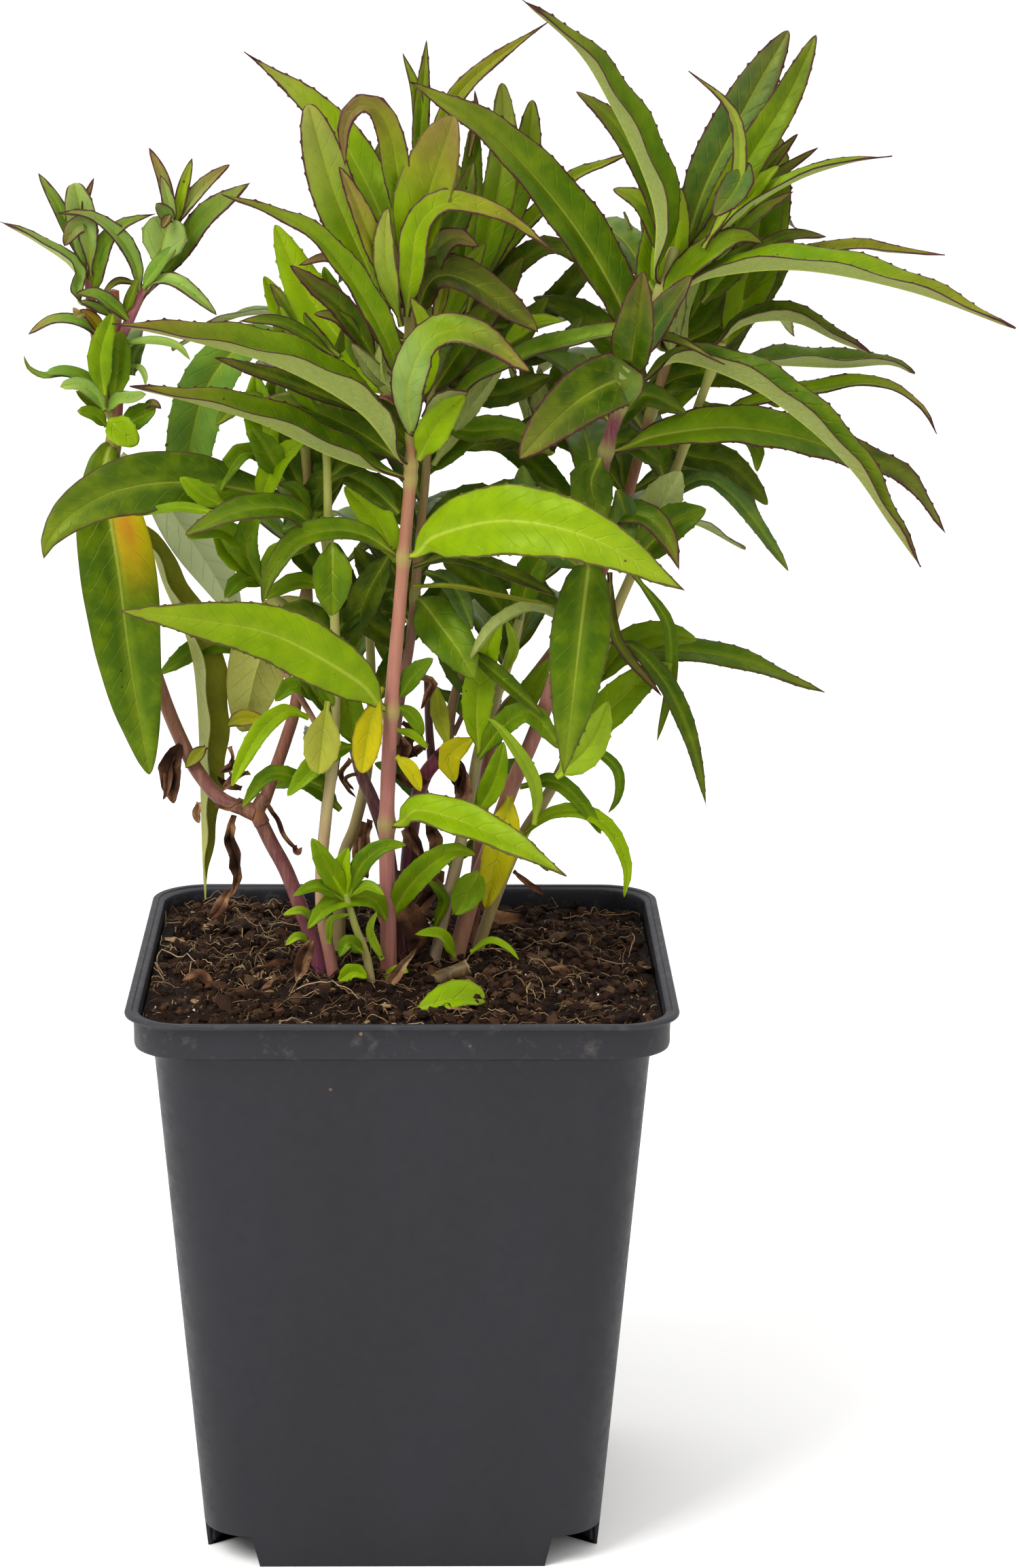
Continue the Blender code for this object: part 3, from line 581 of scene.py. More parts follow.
# %% Damp peat finish
peat = new_material("damp_peat", IOR=1.4, Specular_IOR_Level=0.1)
node = partial(add_node, peat)
lumps = pattern(peat, 3.5, 6.0, rough=0.7)
fine = pattern(peat, 0.7, 4.0, rough=0.7, offset=3.0)
streaks = pattern(peat, 1.2, 5.0, stretch=(1, 0.3, 1), offset=7.0)
tint = node("Mix", node("MapRange", lumps, 0.35, 0.7, **SOFT), linear("#0d0704"), linear("#22130b"),
            **COLOURS)
tint = node("Mix", node("MapRange", fine, 0.55, 0.8, **SOFT), tint, linear("#4a3020"), **COLOURS)
tint = node("Mix", node("MapRange", streaks, 0.62, 0.72, **SOFT), tint, linear("#7c6047"), **COLOURS)
shader_input(peat, "Base Color", tint)
shader_input(peat, "Roughness", node("MapRange", fine, 0.3, 0.7, 0.55, 0.95, **SOFT))
shader_input(peat, "Normal", node("Bump", Height=fine, Distance=0.35 * MM))
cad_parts["potting_soil"].data.materials.clear()
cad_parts["potting_soil"].data.materials.append(peat)

soil_quads = grid_faces(*soil_grid.shape[:2], wrap=True)
piece("soil_surface", capped(soil_grid, soil_quads), peat, sharp=180)
print("soil quads", len(soil_quads))

# %% [markdown]
# Loose bits have their own finish: one material reads a colour stored on the points, so crumbs, bark,
# fibres, roots and dead leaves can each be as brown, tan or pale as they should be, and noise varies it.

# %% Dry litter finish
litter = new_material("dry_plant_litter", Roughness=0.85, IOR=1.4, Specular_IOR_Level=0.12)
node = partial(add_node, litter)
own = node("Attribute", attribute_name="own_colour", out="Color")
grain = pattern(litter, 0.9, 5.0, rough=0.7)
tint = node("Mix", node("MapRange", grain, 0.3, 0.75, 0.0, 0.55, **SOFT), own, linear("#21150d"), **COLOURS)
shader_input(litter, "Base Color", tint)
shader_input(litter, "Normal", node("Bump", Height=grain, Distance=0.2 * MM))
print(litter.name, len(litter.node_tree.nodes), "nodes")

# %% [markdown]
# Crumbs are small closed balls with a random shape, and fibres and roots are thin tubes that wander over
# the soil. Thousands are worked out at once in arrays and joined, so each kind is one piece.

# %% Crumbs
def colour_mix(codes, amounts):
    """A colour for each amount from 0 to 1, read along a row of hex colours."""
    row = np.array([linear(code) for code in codes])
    spots = np.linspace(0, 1, len(codes))
    return np.stack([np.interp(amounts, spots, row[:, k]) for k in range(4)], axis=-1)


SCATTER = 50.0  # crumbs lie within this distance of the middle, across and back


def crumbs(count, sizes, flatness, codes, seed):
    """Closed lumps: each is a ball of 5 rings by 6 points, its radius pushed in and out at random, pressed
    flat, turned at random and half sunk in the soil. All are worked out in one array."""
    rng = np.random.default_rng(seed)
    x, y = rng.uniform(-SCATTER, SCATTER, count), rng.uniform(-SCATTER, SCATTER, count)
    keep = np.hypot(np.maximum(abs(x) - 40, 0), np.maximum(abs(y) - 40, 0)) < 10.5  # inside round corners
    x, y = x[keep], y[keep]
    count = len(x)
    size = rng.uniform(*sizes, count) ** 1.5 / sizes[1] ** 0.5
    tilt = np.linspace(0.14, 0.86, 5) * math.pi
    turn = np.arange(6) * math.pi / 3
    ball = np.stack([np.sin(tilt)[:, None] * np.cos(turn), np.sin(tilt)[:, None] * np.sin(turn),
                     -np.cos(tilt)[:, None] * np.ones(6)], axis=-1)
    points = ball[None] * rng.uniform(0.65, 1.25, (count, 5, 6, 1)) * size[:, None, None, None]
    points = points * np.stack([rng.uniform(0.7, 1.5, count), rng.uniform(0.6, 1.1, count),
                                np.full(count, flatness)], axis=-1)[:, None, None]
    around = rng.uniform(0, 2 * math.pi, count)[:, None, None]
    lean = rng.normal(0, 0.35, count)[:, None, None]
    px, py, pz = points[..., 0], points[..., 1], points[..., 2]
    px, pz = px * np.cos(lean) - pz * np.sin(lean), px * np.sin(lean) + pz * np.cos(lean)
    px, py = px * np.cos(around) - py * np.sin(around), px * np.sin(around) + py * np.cos(around)
    height = soil_top(x, y) + size * flatness * 0.35
    points = np.stack([px + x[:, None, None], py + y[:, None, None], pz + height[:, None, None]], axis=-1)
    quads = grid_faces(5, 6, wrap=True)
    tris = np.array([[0, k + 1, k] for k in (4, 3, 2, 1)] + [[24, 24 + k, 25 + k] for k in (1, 2, 3, 4)])
    steps = np.arange(count)[:, None, None] * 30
    colours = colour_mix(codes, rng.uniform(0, 1, count))
    return {"points": points.reshape(-1, 3), "quads": (quads + steps).reshape(-1, 4),
            "tris": (tris + steps).reshape(-1, 3), "values": {"own_colour": np.repeat(colours, 30, axis=0)}}


print("crumbs have", 5 * 6, "points each")

# %% [markdown]
# A strand's heading is a running sum of small random turns, which gives the loose curves of real roots.

# %% Strands
def strands(count, lengths, radii, codes, seed, curl, rise, region=(-49, 49, -49, 49), steps=9):
    """Thin closed tubes lying on the soil. Each starts at a random spot with a random heading that wanders:
    heading(i) = start + the running sum of random turns. Its height follows the soil, plus an arch."""
    rng = np.random.default_rng(seed)
    x, y = rng.uniform(region[0], region[1], count), rng.uniform(region[2], region[3], count)
    long = rng.uniform(*lengths, count)
    heading = rng.uniform(0, 2 * math.pi, count)[:, None]
    heading = heading + np.cumsum(rng.normal(0, 0.35 * curl, (count, steps)), axis=1)
    pace = (long / (steps - 1))[:, None]
    px = x[:, None] + np.cumsum(np.cos(heading) * pace, axis=1)
    py = y[:, None] + np.cumsum(np.sin(heading) * pace, axis=1)
    edge = BAND_HALF - WALL - 0.9
    px, py = np.clip(px, -edge, edge), np.clip(py, -edge, edge)
    share = np.linspace(0, 1, steps)
    lift = rng.uniform(0, rise, count)[:, None] * np.sin(math.pi * share)
    lift = lift + rng.uniform(0, 0.4, count)[:, None]
    pz = soil_top(px, py) + 0.15 + lift + rng.normal(0, 0.12, (count, steps))
    thick = rng.uniform(*radii, count)
    taper = 1 - 0.75 * share**3
    colours = colour_mix(codes, rng.uniform(0, 1, count))
    return join([
        tube(np.stack([px[k], py[k], pz[k]], axis=1), thick[k] * taper, 4, hint=(0.02, 0.01, 1.0),
             values={"own_colour": np.repeat(colours[k:k + 1], steps, axis=0)})
        for k in range(count)
    ])


print("strands ready")

# %% [markdown]
# The soil gets fine dark crumbs, tan chips, bark, grit, fibres all over and some along the left rim, and
# longer roots.

# %% Loose bits on the soil
# Piece, its kind, the angle of its sharp edges. Then, for crumbs: how many, sizes, flatness, colours and
# seed; for strands: how many, lengths, radii, colours, seed, curl and rise.
LOOSE_BITS = [
    ("soil_crumbs", crumbs, 30,
     (3400, (0.25, 1.5), 0.75, ["#0e0805", "#1b100a", "#2f1e13", "#4f3726"], 11)),
    ("tan_chips", crumbs, 30, (90, (0.6, 2.4), 0.22, ["#5a4532", "#8a6c4c", "#b59a76"], 17)),
    ("rim_fibres", partial(strands, region=(-49, -24, -20, 49)), 50,
     (90, (3, 9), (0.06, 0.15), ["#4c3a28", "#7d6548", "#b39a74"], 18, 0.3, 2.2)),
    ("bark_bits", crumbs, 30, (150, (0.9, 2.6), 0.4, ["#1e130d", "#33231a", "#4a3626", "#66503a"], 12)),
    ("grit_grains", crumbs, 50, (170, (0.16, 0.5), 0.8, ["#8f8a80", "#cfcac0", "#f3f0e8"], 13)),
    ("peat_fibres", strands, 50,
     (900, (2, 8), (0.05, 0.15), ["#2e1e13", "#4e3826", "#7d6345", "#ab8f6a"], 14, 0.45, 1.2)),
    ("fine_roots", partial(strands, steps=14), 50,
     (46, (8, 24), (0.07, 0.17), ["#5e4833", "#876e50", "#b8a283"], 15, 0.8, 3.0)),
]
for name, kind, sharp, row in LOOSE_BITS:
    piece(name, kind(*row), litter, sharp=sharp)
print("kinds of loose bits", len(LOOSE_BITS))

# %% [markdown]
# ## The stems
# A penstemon stem is a slim rod that thins upwards and swells a little where each pair of leaves grows.
# Old growth low down turns mauve, brown or magenta, and young growth is pale green. Each stem is a tube
# along the same line as its solid. Its skin colour is worked out along its length and stored on its points.
# Stems and leaves are many and each is different, so they are written as tables, one row to each. Every
# number is in millimetres on the drawing sheet, or in degrees.

# %% Reading the tables
def table(text):
    """A text table as rows: colons part a row, commas part its fields, and a line that starts with two
    spaces goes on with the row before it."""
    rows = text.strip().replace("\n  ", " ").split("\n")
    return [[[field.strip() for field in part.split(",")] for part in row.split(":")] for row in rows]


def numbers(fields):
    """Fields as numbers; a field that holds several becomes a list."""
    found = [[float(word) for word in field.split()] for field in fields]
    return [row[0] if len(row) == 1 else row for row in found]


def settings(fields, **usual):
    """Fields such as 'tip 0.35' by name, on top of the usual ones. A number on its own is the flush."""
    pairs = [("flush " + field).split()[-2:] for field in fields]
    return {**usual, **{name: float(value) for name, value in pairs}}


print("for example", table("a row: 1 2, 3 4: 5"))

# %% [markdown]
# These are the stems with a solid, and the side shoots that are too thin for one. stem_spot finds the place
# on a stem where a leaf grows.

# %% Stem layout
# Each row: its name, its points (across, up, back), its radius below and on top, its colours upwards.
STEMS = """
front_stem: -3 106 -12, -3.2 125 -12, -3.5 147 -12, -2.6 171 -13, -0.9 192 -13, 0.6 210 -13, 1.5 222 -13,
  1.8 236 -13, 1.2 250 -13, 0.6 262 -12: 1.75, 1: #845347 #9d696a #a56c6a #a8746a #a0705e #93704c #92a746
second_stem: -2.8 110 -2, -3 150 -1, -1.2 170 0, 1.4 186 1, 2.9 203 2, 4.5 220 3, 5.4 234 4, 6.2 247 5:
  1.2, 0.8: #4d2937 #6c404b #845b58 #8a774c #8c9b4c
purple_right_stem: 9 110 -1, 13.5 129 -1, 18.5 144 -2, 22.3 155 -3, 26.5 165 -4, 30.5 176 -5, 34 188 -6,
  36.8 199 -6, 38.7 211 -7, 40.8 224 -8, 44 235 -9, 49 249 -9, 53.2 262 -9, 54 266 -9: 1.8, 1.2:
  #9d7b69 #9c7262 #94655e #8c5a5c #7c3f4e #5f2038 #64283c #a1a76a
right_rear_stem: 13 112 12, 15.5 140 13, 17 158 14, 20 170 15, 25 176 16, 31 184 17, 37 193 17, 42 204 16,
  45.3 215 15, 49.8 232 14, 54 246 13: 1.5, 1: #7b554a #805749 #845748 #864f42 #7b6c45
pale_outer_stem: 13.5 111 4, 16 122 4, 20 134 4, 24.5 144.5 4, 29 152 4, 33.5 161 4, 38 174 4, 42.7 190 4,
  46.7 200 4, 51.5 212 4, 55.5 222 4, 59.5 234 4, 64 247 4: 1.3, 0.9:
  #978a5f #9d9668 #9f9b69 #9fa05e #8f9c4c
pale_right_stem: 4.6 109 -5, 8.5 128 -5, 11 138 -4, 13.4 151 -3, 15.4 162 -2, 19 174 0, 21.5 182 1,
  23.5 190 2: 1.25, 0.8: #907b73 #9a9073 #b3b57f #a1af61
basal_shoot_stem: -6 107 -18, -7.6 118 -18, -10 125 -19, -12 132 -20: 1, 0.7: #9d847e #9da15d #88a23c
left_low_stem: -15.5 107 -9, -18 119 -9, -21 128 -9, -24.3 137 -8, -27.4 143 -7, -30 148.6 -6: 1.6, 1.5:
  #904977 #794059 #6c3a47 #5e3730
left_branch_stem: -31.2 149.6 -6, -37.5 152.3 -4, -42 157.5 -3, -45.4 164 -2, -49.3 174 -1, -54 190 0,
  -57.2 207 1, -58.7 224 1, -57.8 236 1, -58.3 257 1: 1.5, 1.3:
  #6c3c48 #7f5649 #8f6650 #836544 #8f5750 #9e5d3e
right_branch_stem: -29 151.1 -5.6, -26.8 157.5 -4, -24.2 165 -3, -22.2 172 -2, -20.9 183 -1, -19.8 196 0,
  -18.9 208 0, -19.2 216 0, -20 226 0: 1.35, 1: #6c4537 #815344 #784348 #6b3241 #889242
pale_left_stem: -13.2 107 -15, -15.4 119 -15, -17 128 -15, -17 138 -14, -16 149 -13, -14.6 160 -12,
  -14 172 -11, -14 186 -11, -14.5 199 -10, -15.3 208 -10, -15.5 221 -10, -16 231 -9: 1.3, 0.8:
  #903e5f #a98f74 #a8a578 #a4ad68 #9fab58 #8ea048
centre_pale_stem: -13.5 112 3, -13 137 4, -10 147 5, -7.6 158 6, -6.6 172 8, -7 190 10: 1.4, 0.9:
  #867b53 #9c9767 #a0a75b
back_stem: -3.2 113 14, -3.5 147 18, -2.6 171 21, -0.9 192 24, 1 212 27, 5 232 30, 10 250 32: 1.5, 1:
  #784d47 #81574d #8c9847
back_left_stem: -14 113 15, -17 133 19, -16 149 22, -14.4 163 24, -14 186 28, -15.8 206 32, -19 222 35:
  1.4, 1: #6c3c45 #795645 #8c9847
back_right_stem: 5 113 16, 8.5 128 19, 13.4 151 24, 15.6 163 27, 19 174 30, 23.5 190 34, 28 225 41: 1.4, 1:
  #785245 #8a774f #8c9847
"""

# Side shoots that are too thin for the CAD.
SIDE_SHOOTS = """
left_tip_shoot: -58.6 231 1, -60.3 236 0, -62.2 250 0, -63 257.4 0, -63.9 262 0: 1.1, 0.8:
  #8f9846 #98635b #91535b
left_second_shoot: -58.2 244 1, -56 249 0, -52.7 256 0, -49.7 260 0, -46 272 0: 1.1, 0.8:
  #91535b #98596b #929e48
left_inner_shoot: -20 190 0, -24 193 -3, -28.5 197 -4, -31 203 -5, -34 209 -6: 0.9, 0.6: #a1a765 #8c9847
low_side_shoot: -26 182 -3, -22.5 176 -7, -19 170 -9, -16.5 165 -11: 0.7, 0.6: #91645b #9c7b66
fork_left: -34.6 151.3 -5, -32.6 150.2 -5.6, -30.6 149.4 -6: 1.5, 1.9: #6a3e45 #694134 #774d34
fork_knob: -29.2 147 -6.4, -30.2 149.4 -6, -29.6 151.2 -5.6, -28.6 152.8 -5.2: 1.7, 1.5:
  #5e3730 #7b5330 #694434 #6c4537
old_centre_shoot: 5.8 160 6, 5.2 168 6, 4.8 177.6 6: 0.95, 0.7: #4a2030 #3a1a26
old_centre_twig: 9.2 161.5 5, 9.6 170 5, 12.2 181 5: 1.2, 0.9: #6d3550 #7d6a48 #8d7a54
old_side_twig: 10.2 166 5, 12 170 5, 13.7 174.8 5: 0.6, 0.5: #5a4038 #4a3430
old_dark_shoot: -10 163 2, -8.5 157 1, -6 151 0, -3 140 0, -1 118 0: 1.3, 1.5: #4d2837 #5c3240 #4d3232
old_purple_shoot: 9.8 163.6 4, 6.6 160.4 4, 3.5 155 4, 1 140 4, 0 114 4: 1.5, 1.7:
  #8a3058 #6d3550 #5f3344 #5f3344
"""


def stem_rows(text):
    """A table's stems by name: points, radius below, radius on top, colours."""
    return {name: (numbers(points), *numbers(radii), codes.split())
            for (name,), points, radii, (codes,) in table(text)}


solid_stems, thin_stems = stem_rows(STEMS), stem_rows(SIDE_SHOOTS)
all_stems = {**solid_stems, **thin_stems}
print("stems", len(solid_stems), "and side shoots", len(thin_stems))


def stem_spot(name, up):
    """The point on a stem's middle line at a drawing height, the stem's direction and its radius there."""
    knots, low, top = all_stems[name][:3]
    drawn = smooth_line(knots, np.linspace(0, 1, 200))
    row = min(198, int(np.argmin(abs(drawn[:, 1] - up))))
    along = place(drawn[row:row + 2])
    return along[0], unit(along[1] - along[0]), low + (top - low) * row / 199


# %% [markdown]
# A stem's skin is smooth and satin, with fine streaks along it, blotches of a redder brown and a greener
# ring at each node. Its main colour is read from the stem's points. The streaks also make a slight bump.

# %% Stem skin
stem_skin = new_material("stem_skin", Roughness=0.42, IOR=1.42, Specular_IOR_Level=0.3,
                         Subsurface_Weight=0.08, Subsurface_Radius=(0.002, 0.001, 0.0005))
node = partial(add_node, stem_skin)
own = node("Attribute", attribute_name="own_colour", out="Color")
node_ring = node("Attribute", attribute_name="node_ring", out="Fac")
streak = pattern(stem_skin, 0.9, 5.0, stretch=(1, 1, 0.09), rough=0.65)
blotch = pattern(stem_skin, 5.0, 3.0, stretch=(1, 1, 0.4), offset=4.0)
tint = node("Mix", node("MapRange", streak, 0.4, 0.72, 0.0, 0.2, **SOFT), own, linear("#b8946f"), **COLOURS)
tint = node("Mix", node("MapRange", blotch, 0.5, 0.75, 0.0, 0.22, **SOFT), tint, linear("#6e3a3a"),
            **COLOURS)
tint = node("Mix", node("Math", node_ring, 0.55, **TIMES), tint, linear("#8b9640"), **COLOURS)
shader_input(stem_skin, "Base Color", tint)
shader_input(stem_skin, "Roughness", node("MapRange", streak, 0.3, 0.7, 0.36, 0.55, **SOFT))
shader_input(stem_skin, "Normal", node("Bump", Height=streak, Distance=0.12 * MM))
print(stem_skin.name, len(stem_skin.node_tree.nodes), "nodes")

# %% [markdown]
# ## The leaves
# A leaf is lance-shaped, folded a little along its midrib and arched along its length. Its margin carries
# small teeth that point to the tip, each about 3 mm from the next. A leaf is one closed sheet of two
# grids. Along it there are four rows to each tooth, and across it there are nine columns, which crowd at
# the midrib, for its groove, and at the margin, for its thin edge. The colour zones are measured on the
# leaf itself: each point stores how far it is from the midrib, from the base and from the margin.

# %% Leaf colours
TONES = {
    "fresh": "#6a8502", "bright": "#557002", "mid": "#3c5702", "dark": "#2b4203", "deep": "#203202",
    "teal": "#344c21", "olive": "#686818", "gold": "#918605", "lime": "#7a921e", "brown": "#422a1e",
    "rust": "#703e21", "purple": "#53392a", "tan": "#7d6142", "night": "#262711", "pale": "#7d8639",
    "mauve": "#735c35", "sage": "#788f48", "moss": "#587a2c", "ash": "#a4b2a0",
    "amber": "#a06418", "straw": "#8d8c34", "sun": "#a89a06",
}
COLUMNS = np.array([-1.0, -0.9, -0.52, -0.14, 0.0, 0.14, 0.52, 0.9, 1.0])
FEW_COLUMNS = np.array([-1.0, -0.6, 0.0, 0.6, 1.0])
TOOTH_MM = 3.0
NARROW_MM = 3.4  # a leaf up to this width has few columns and no teeth
TOOTH_ROWS, TOOTH_BITE = [0.0, 0.6, 0.8, 0.92], [0.0, 0.1, 1.0, 0.1]  # a tooth's rows, and how far out
MIDRIB_MM, GROOVE_MM = 0.7, 0.45  # how far the midrib's ridge below and its groove above reach


print("leaf tones", len(TONES))

# %% [markdown]
# The outline comes first, because the same few numbers can give round bracts and drawn-out long leaves.
# The blade is then worked out for all its points at once from its midrib, its fold and its outline.

# %% Leaf blade shape
def half_width(share, width, tip, broad, stalk):
    """Half the blade's width along it: a sine bent so that it peaks at the share 'broad', raised to a power
    that runs from 1.3 near the base to 'tip' at the end (0.5 is round, 1.3 is drawn out). Over the first
    sixth the power is up to twice 'stalk' higher, which narrows the blade to a slim stalk."""
    lance = np.sin(math.pi * (0.02 + 0.98 * share) ** (math.log(0.5) / math.log(broad)))
    power = 1.3 + (tip - 1.3) * np.minimum(1, share * 1.4) ** 1.2
    power = power + 2 * stalk * np.maximum(0, 1 - share * 6) ** 1.2
    return width / 2 * lance**power + 0.6 * (1 - share) ** 6


def leaf(knots, width, roll, fold=16.0, tone="mid", flush=0.3, seed=0, wave=0.35, margin=0.7, tip=0.62,
         broad=0.47, turn=0.0, stains=(), stalk=0.8):
    """A leaf blade as a closed sheet.
    point(s, a) = midrib(s) + side·a·half(s)·cos(rise) + normal·(height(s, a) ± thickness / 2), where
    height = |a|·half·sin(rise) + a belly between midrib and margin + waves at the margin.
    rise is the fold, growing from nothing over the first fifth. half has a tooth every few millimetres.
    The upper side faces up at roll 0 and the front at roll 90, and 'turn' turns that to the left."""
    rng = np.random.default_rng(seed + 1000)
    knots = np.asarray(knots, float)
    rough_length = length_of(knots) * 1.02
    columns = COLUMNS if width > NARROW_MM else FEW_COLUMNS
    teeth = max(4, round(rough_length / TOOTH_MM))
    if width > NARROW_MM:
        share = (np.arange(teeth)[:, None] + TOOTH_ROWS).ravel() / teeth
        bite = np.tile(TOOTH_BITE, teeth) * np.repeat(rng.uniform(0.5, 1.2, teeth), len(TOOTH_ROWS))
        share, bite = np.append(share, 1.0), np.append(bite, 0.0)
    else:
        share = np.linspace(0, 1, 15)
        bite = np.zeros(15)
    midrib = smooth_line(knots, share)
    rolls = np.radians(np.interp(share, [0, 1], roll) if np.ndim(roll) else share * 0 + roll)
    ahead = unit(np.gradient(midrib, share, axis=0))
    left = math.radians(turn)
    lean = -np.sin(rolls)
    face = np.stack([lean * math.sin(left), lean * math.cos(left), np.cos(rolls)], axis=1)
    side = unit(np.cross(ahead, face))
    normal = np.cross(side, ahead)
    plain = np.maximum(half_width(share, width, tip, broad, stalk), 0.06 + 0.45 * (1 - share) ** 8)
    depth = min(1.0, margin / 0.7) * min(0.34, 0.034 * width) * np.clip((share - 0.12) * 5, 0, 1)
    depth = depth * np.clip((1 - share) * 9, 0, 1)
    half = plain + depth * bite
    a = columns[None, :]
    out = a * np.where(abs(a) > 0.95, half[:, None], plain[:, None])
    rise = np.radians(fold) * np.clip(share / 0.2, 0, 1)[:, None]
    belly = 0.10 * plain[:, None] * 4 * abs(a) * (1 - abs(a))
    run = share * rough_length
    turns = run[:, None] * 2 * math.pi / rng.uniform(11, 17)
    starts = np.where(a > 0, rng.uniform(0, 6), rng.uniform(0, 6))
    sway = wave * min(1.0, width / 9) * np.sin(turns + starts)
    height = abs(out) * np.sin(rise) + belly + sway * a**2 * np.clip(share * 4, 0, 1)[:, None]
    thick = 0.34 + 0.3 * np.exp(-((out / MIDRIB_MM) ** 2)) * (1 - 0.6 * share[:, None])
    thick = thick * np.where(abs(a) > 0.95, 0.45, 1.0) * np.clip(plain / 0.6, 0.35, 1)[:, None]
    groove = 0.16 * np.exp(-((out / GROOVE_MM) ** 2)) * (1 - 0.7 * share[:, None])
    flat = midrib[:, None] + side[:, None] * (out * np.cos(rise))[..., None]
    top = flat + normal[:, None] * (height - groove + thick / 2)[..., None]
    bottom = flat + normal[:, None] * (height - groove * 0.3 - thick / 2)[..., None]
    ones = np.ones_like(out)
    spot = np.stack([out, run[:, None] * ones, (plain[:, None] - abs(out)) + 0 * ones], axis=-1)
    state = [np.stack([share[:, None] * ones, under * ones, flush * ones], axis=-1) for under in (0.0, 1.0)]
    tint = colour_mix([TONES[word] for word in tone.split()], share) * rng.uniform(0.97, 1.23)
    tint = tint[:, None] * np.ones(out.shape + (1,))
    size = ones * np.clip(width / 12, 0.3, 1.0)
    for side_from, side_to, start, end, word in stains:
        inside = np.clip((a - side_from) / 0.15, 0, 1) * np.clip((side_to - a) / 0.15, 0, 1)
        ends = np.clip((share - start) / 0.08, 0, 1) * np.clip((end - share) / 0.2, 0, 1) ** 1.5
        inside = inside * ends[:, None]
        tint = tint + (np.array(linear(TONES[word])) - tint) * inside[..., None]
    return shell(top, bottom, {"leaf_spot": (spot, spot), "leaf_state": state, "leaf_colour": (tint, tint),
                               "leaf_size": (size, size)})


print("half width of a 12 mm leaf", half_width(np.array([0.1, 0.5, 0.9]), 12.0, 0.95, 0.42, 0.8).round(1))

# %% [markdown]
# A long leaf is tied to its stem, and a small one is drawn on the sheet and set back.

# %% Leaves in place
def leaf_from_stem(stem, up, points, *rest, **more):
    """A leaf that starts inside its stem's skin and leaves it squarely."""
    spot, forward, radius = stem_spot(stem, up)
    knots = place(points)
    out = knots[0] - spot
    climb = out @ forward
    out = unit(out - forward * climb)
    bend = spot + out * (radius + 2.0) + forward * 1.6 * math.copysign(min(1.0, abs(climb) / 8), climb)
    return leaf(np.vstack([spot + out * radius * 0.35, bend, knots]), *rest, **more)


def drawn_leaf(points, width, backs, roll, tone, **more):
    """A leaf from across-and-up points, its depth running evenly from backs[0] to backs[1]."""
    points = np.asarray(points, float)
    run = np.concatenate([[0], np.cumsum(np.linalg.norm(np.diff(points, axis=0), axis=1))])
    back = np.interp(run / run[-1], [0, 1], backs)
    return leaf(place(np.column_stack([points, back])), width, roll, tone=tone, **more)


sample = drawn_leaf([(0, 150), (20, 160), (40, 158)], 8.0, (0, 4), 60, "mid")
print("a leaf of 45 mm has", len(sample["quads"]), "quads")

# %% [markdown]
# A fresh penstemon leaf has a waxy skin on its upper side: satin, with a pale midrib, faint side veins that
# run forward, and light mottling. Its underside is paler and duller. A thin purple-brown line follows the
# margin, and young tips flush purple. A few specks are where rain splashed soil. The material reads the
# stored distances, so each line keeps its real width in millimetres whatever the leaf's size.

# %% Leaf blade: what it reads
blade = new_material("penstemon_leaf_blade", IOR=1.42, Specular_IOR_Level=0.22,
                     Specular_Tint=(0.8, 1.0, 0.32, 1.0), Subsurface_Weight=0.12,
                     Subsurface_Radius=(0.0012, 0.0024, 0.0004))
node = partial(add_node, blade)
spot = node("Attribute", attribute_name="leaf_spot", out="Vector")
state = node("Attribute", attribute_name="leaf_state", out="Vector")
across_mm, run_mm, edge_mm = node("SeparateXYZ", spot, out="X Y Z")
share, under, flush = node("SeparateXYZ", state, out="X Y Z")
own = node("Attribute", attribute_name="leaf_colour", out="Color")
leaf_size = node("Attribute", attribute_name="leaf_size", out="Fac")
from_rib = node("Math", across_mm, operation="ABSOLUTE")
mottle = pattern(blade, 5.0, 4.0, rough=0.6)
grain = pattern(blade, 0.8, 4.0, rough=0.6)
wander = pattern(blade, 3.0, 2.0, offset=5.0)
print("blade reads", len(blade.node_tree.nodes), "nodes")

# %% [markdown]
# Side veins leave the midrib at even steps and run forward at about 40 degrees. The distance along the
# leaf, less a share of the distance from the midrib, is cut into steps, and the middle of each step is a
# vein. Noise lets them wander. The midrib is a band that narrows and fades to the tip.

# %% Leaf blade: veins and midrib
VEIN_STEP_MM, VEIN_SLANT, VEIN_WANDER_MM = 4.5, 1.35, 2.4
phase = node("Math", run_mm, node("Math", from_rib, VEIN_SLANT, **TIMES), operation="SUBTRACT")
phase = node("Math", phase, node("Math", wander, VEIN_WANDER_MM, **TIMES), operation="ADD")
phase = node("Math", node("Math", phase, VEIN_STEP_MM, operation="DIVIDE"), operation="FRACT")
phase = node("Math", node("Math", phase, 0.5, operation="SUBTRACT"), operation="ABSOLUTE")
vein = node("MapRange", phase, 0.09, 0.0, **SOFT)
vein = node("Math", vein, node("MapRange", edge_mm, 0.4, 1.6, **SOFT), **TIMES)
rib_width = node("Math", node("MapRange", share, 0.0, 0.8, 1.0, 0.3, **SOFT), leaf_size, **TIMES)
midrib = node("MapRange", node("Math", from_rib, rib_width, operation="DIVIDE"), 0.62, 0.1, **SOFT)
midrib = node("Math", midrib, node("MapRange", share, 0.25, 1.0, 0.85, 0.15, **SOFT), **TIMES)
midrib = node("Math", midrib, node("MapRange", leaf_size, 0.3, 0.9, 0.6, 1.0, **SOFT), **TIMES)
beside_rib = node("MapRange", node("Math", from_rib, leaf_size, operation="DIVIDE"), 2.2, 0.4, **SOFT)
print("with veins", len(blade.node_tree.nodes), "nodes")

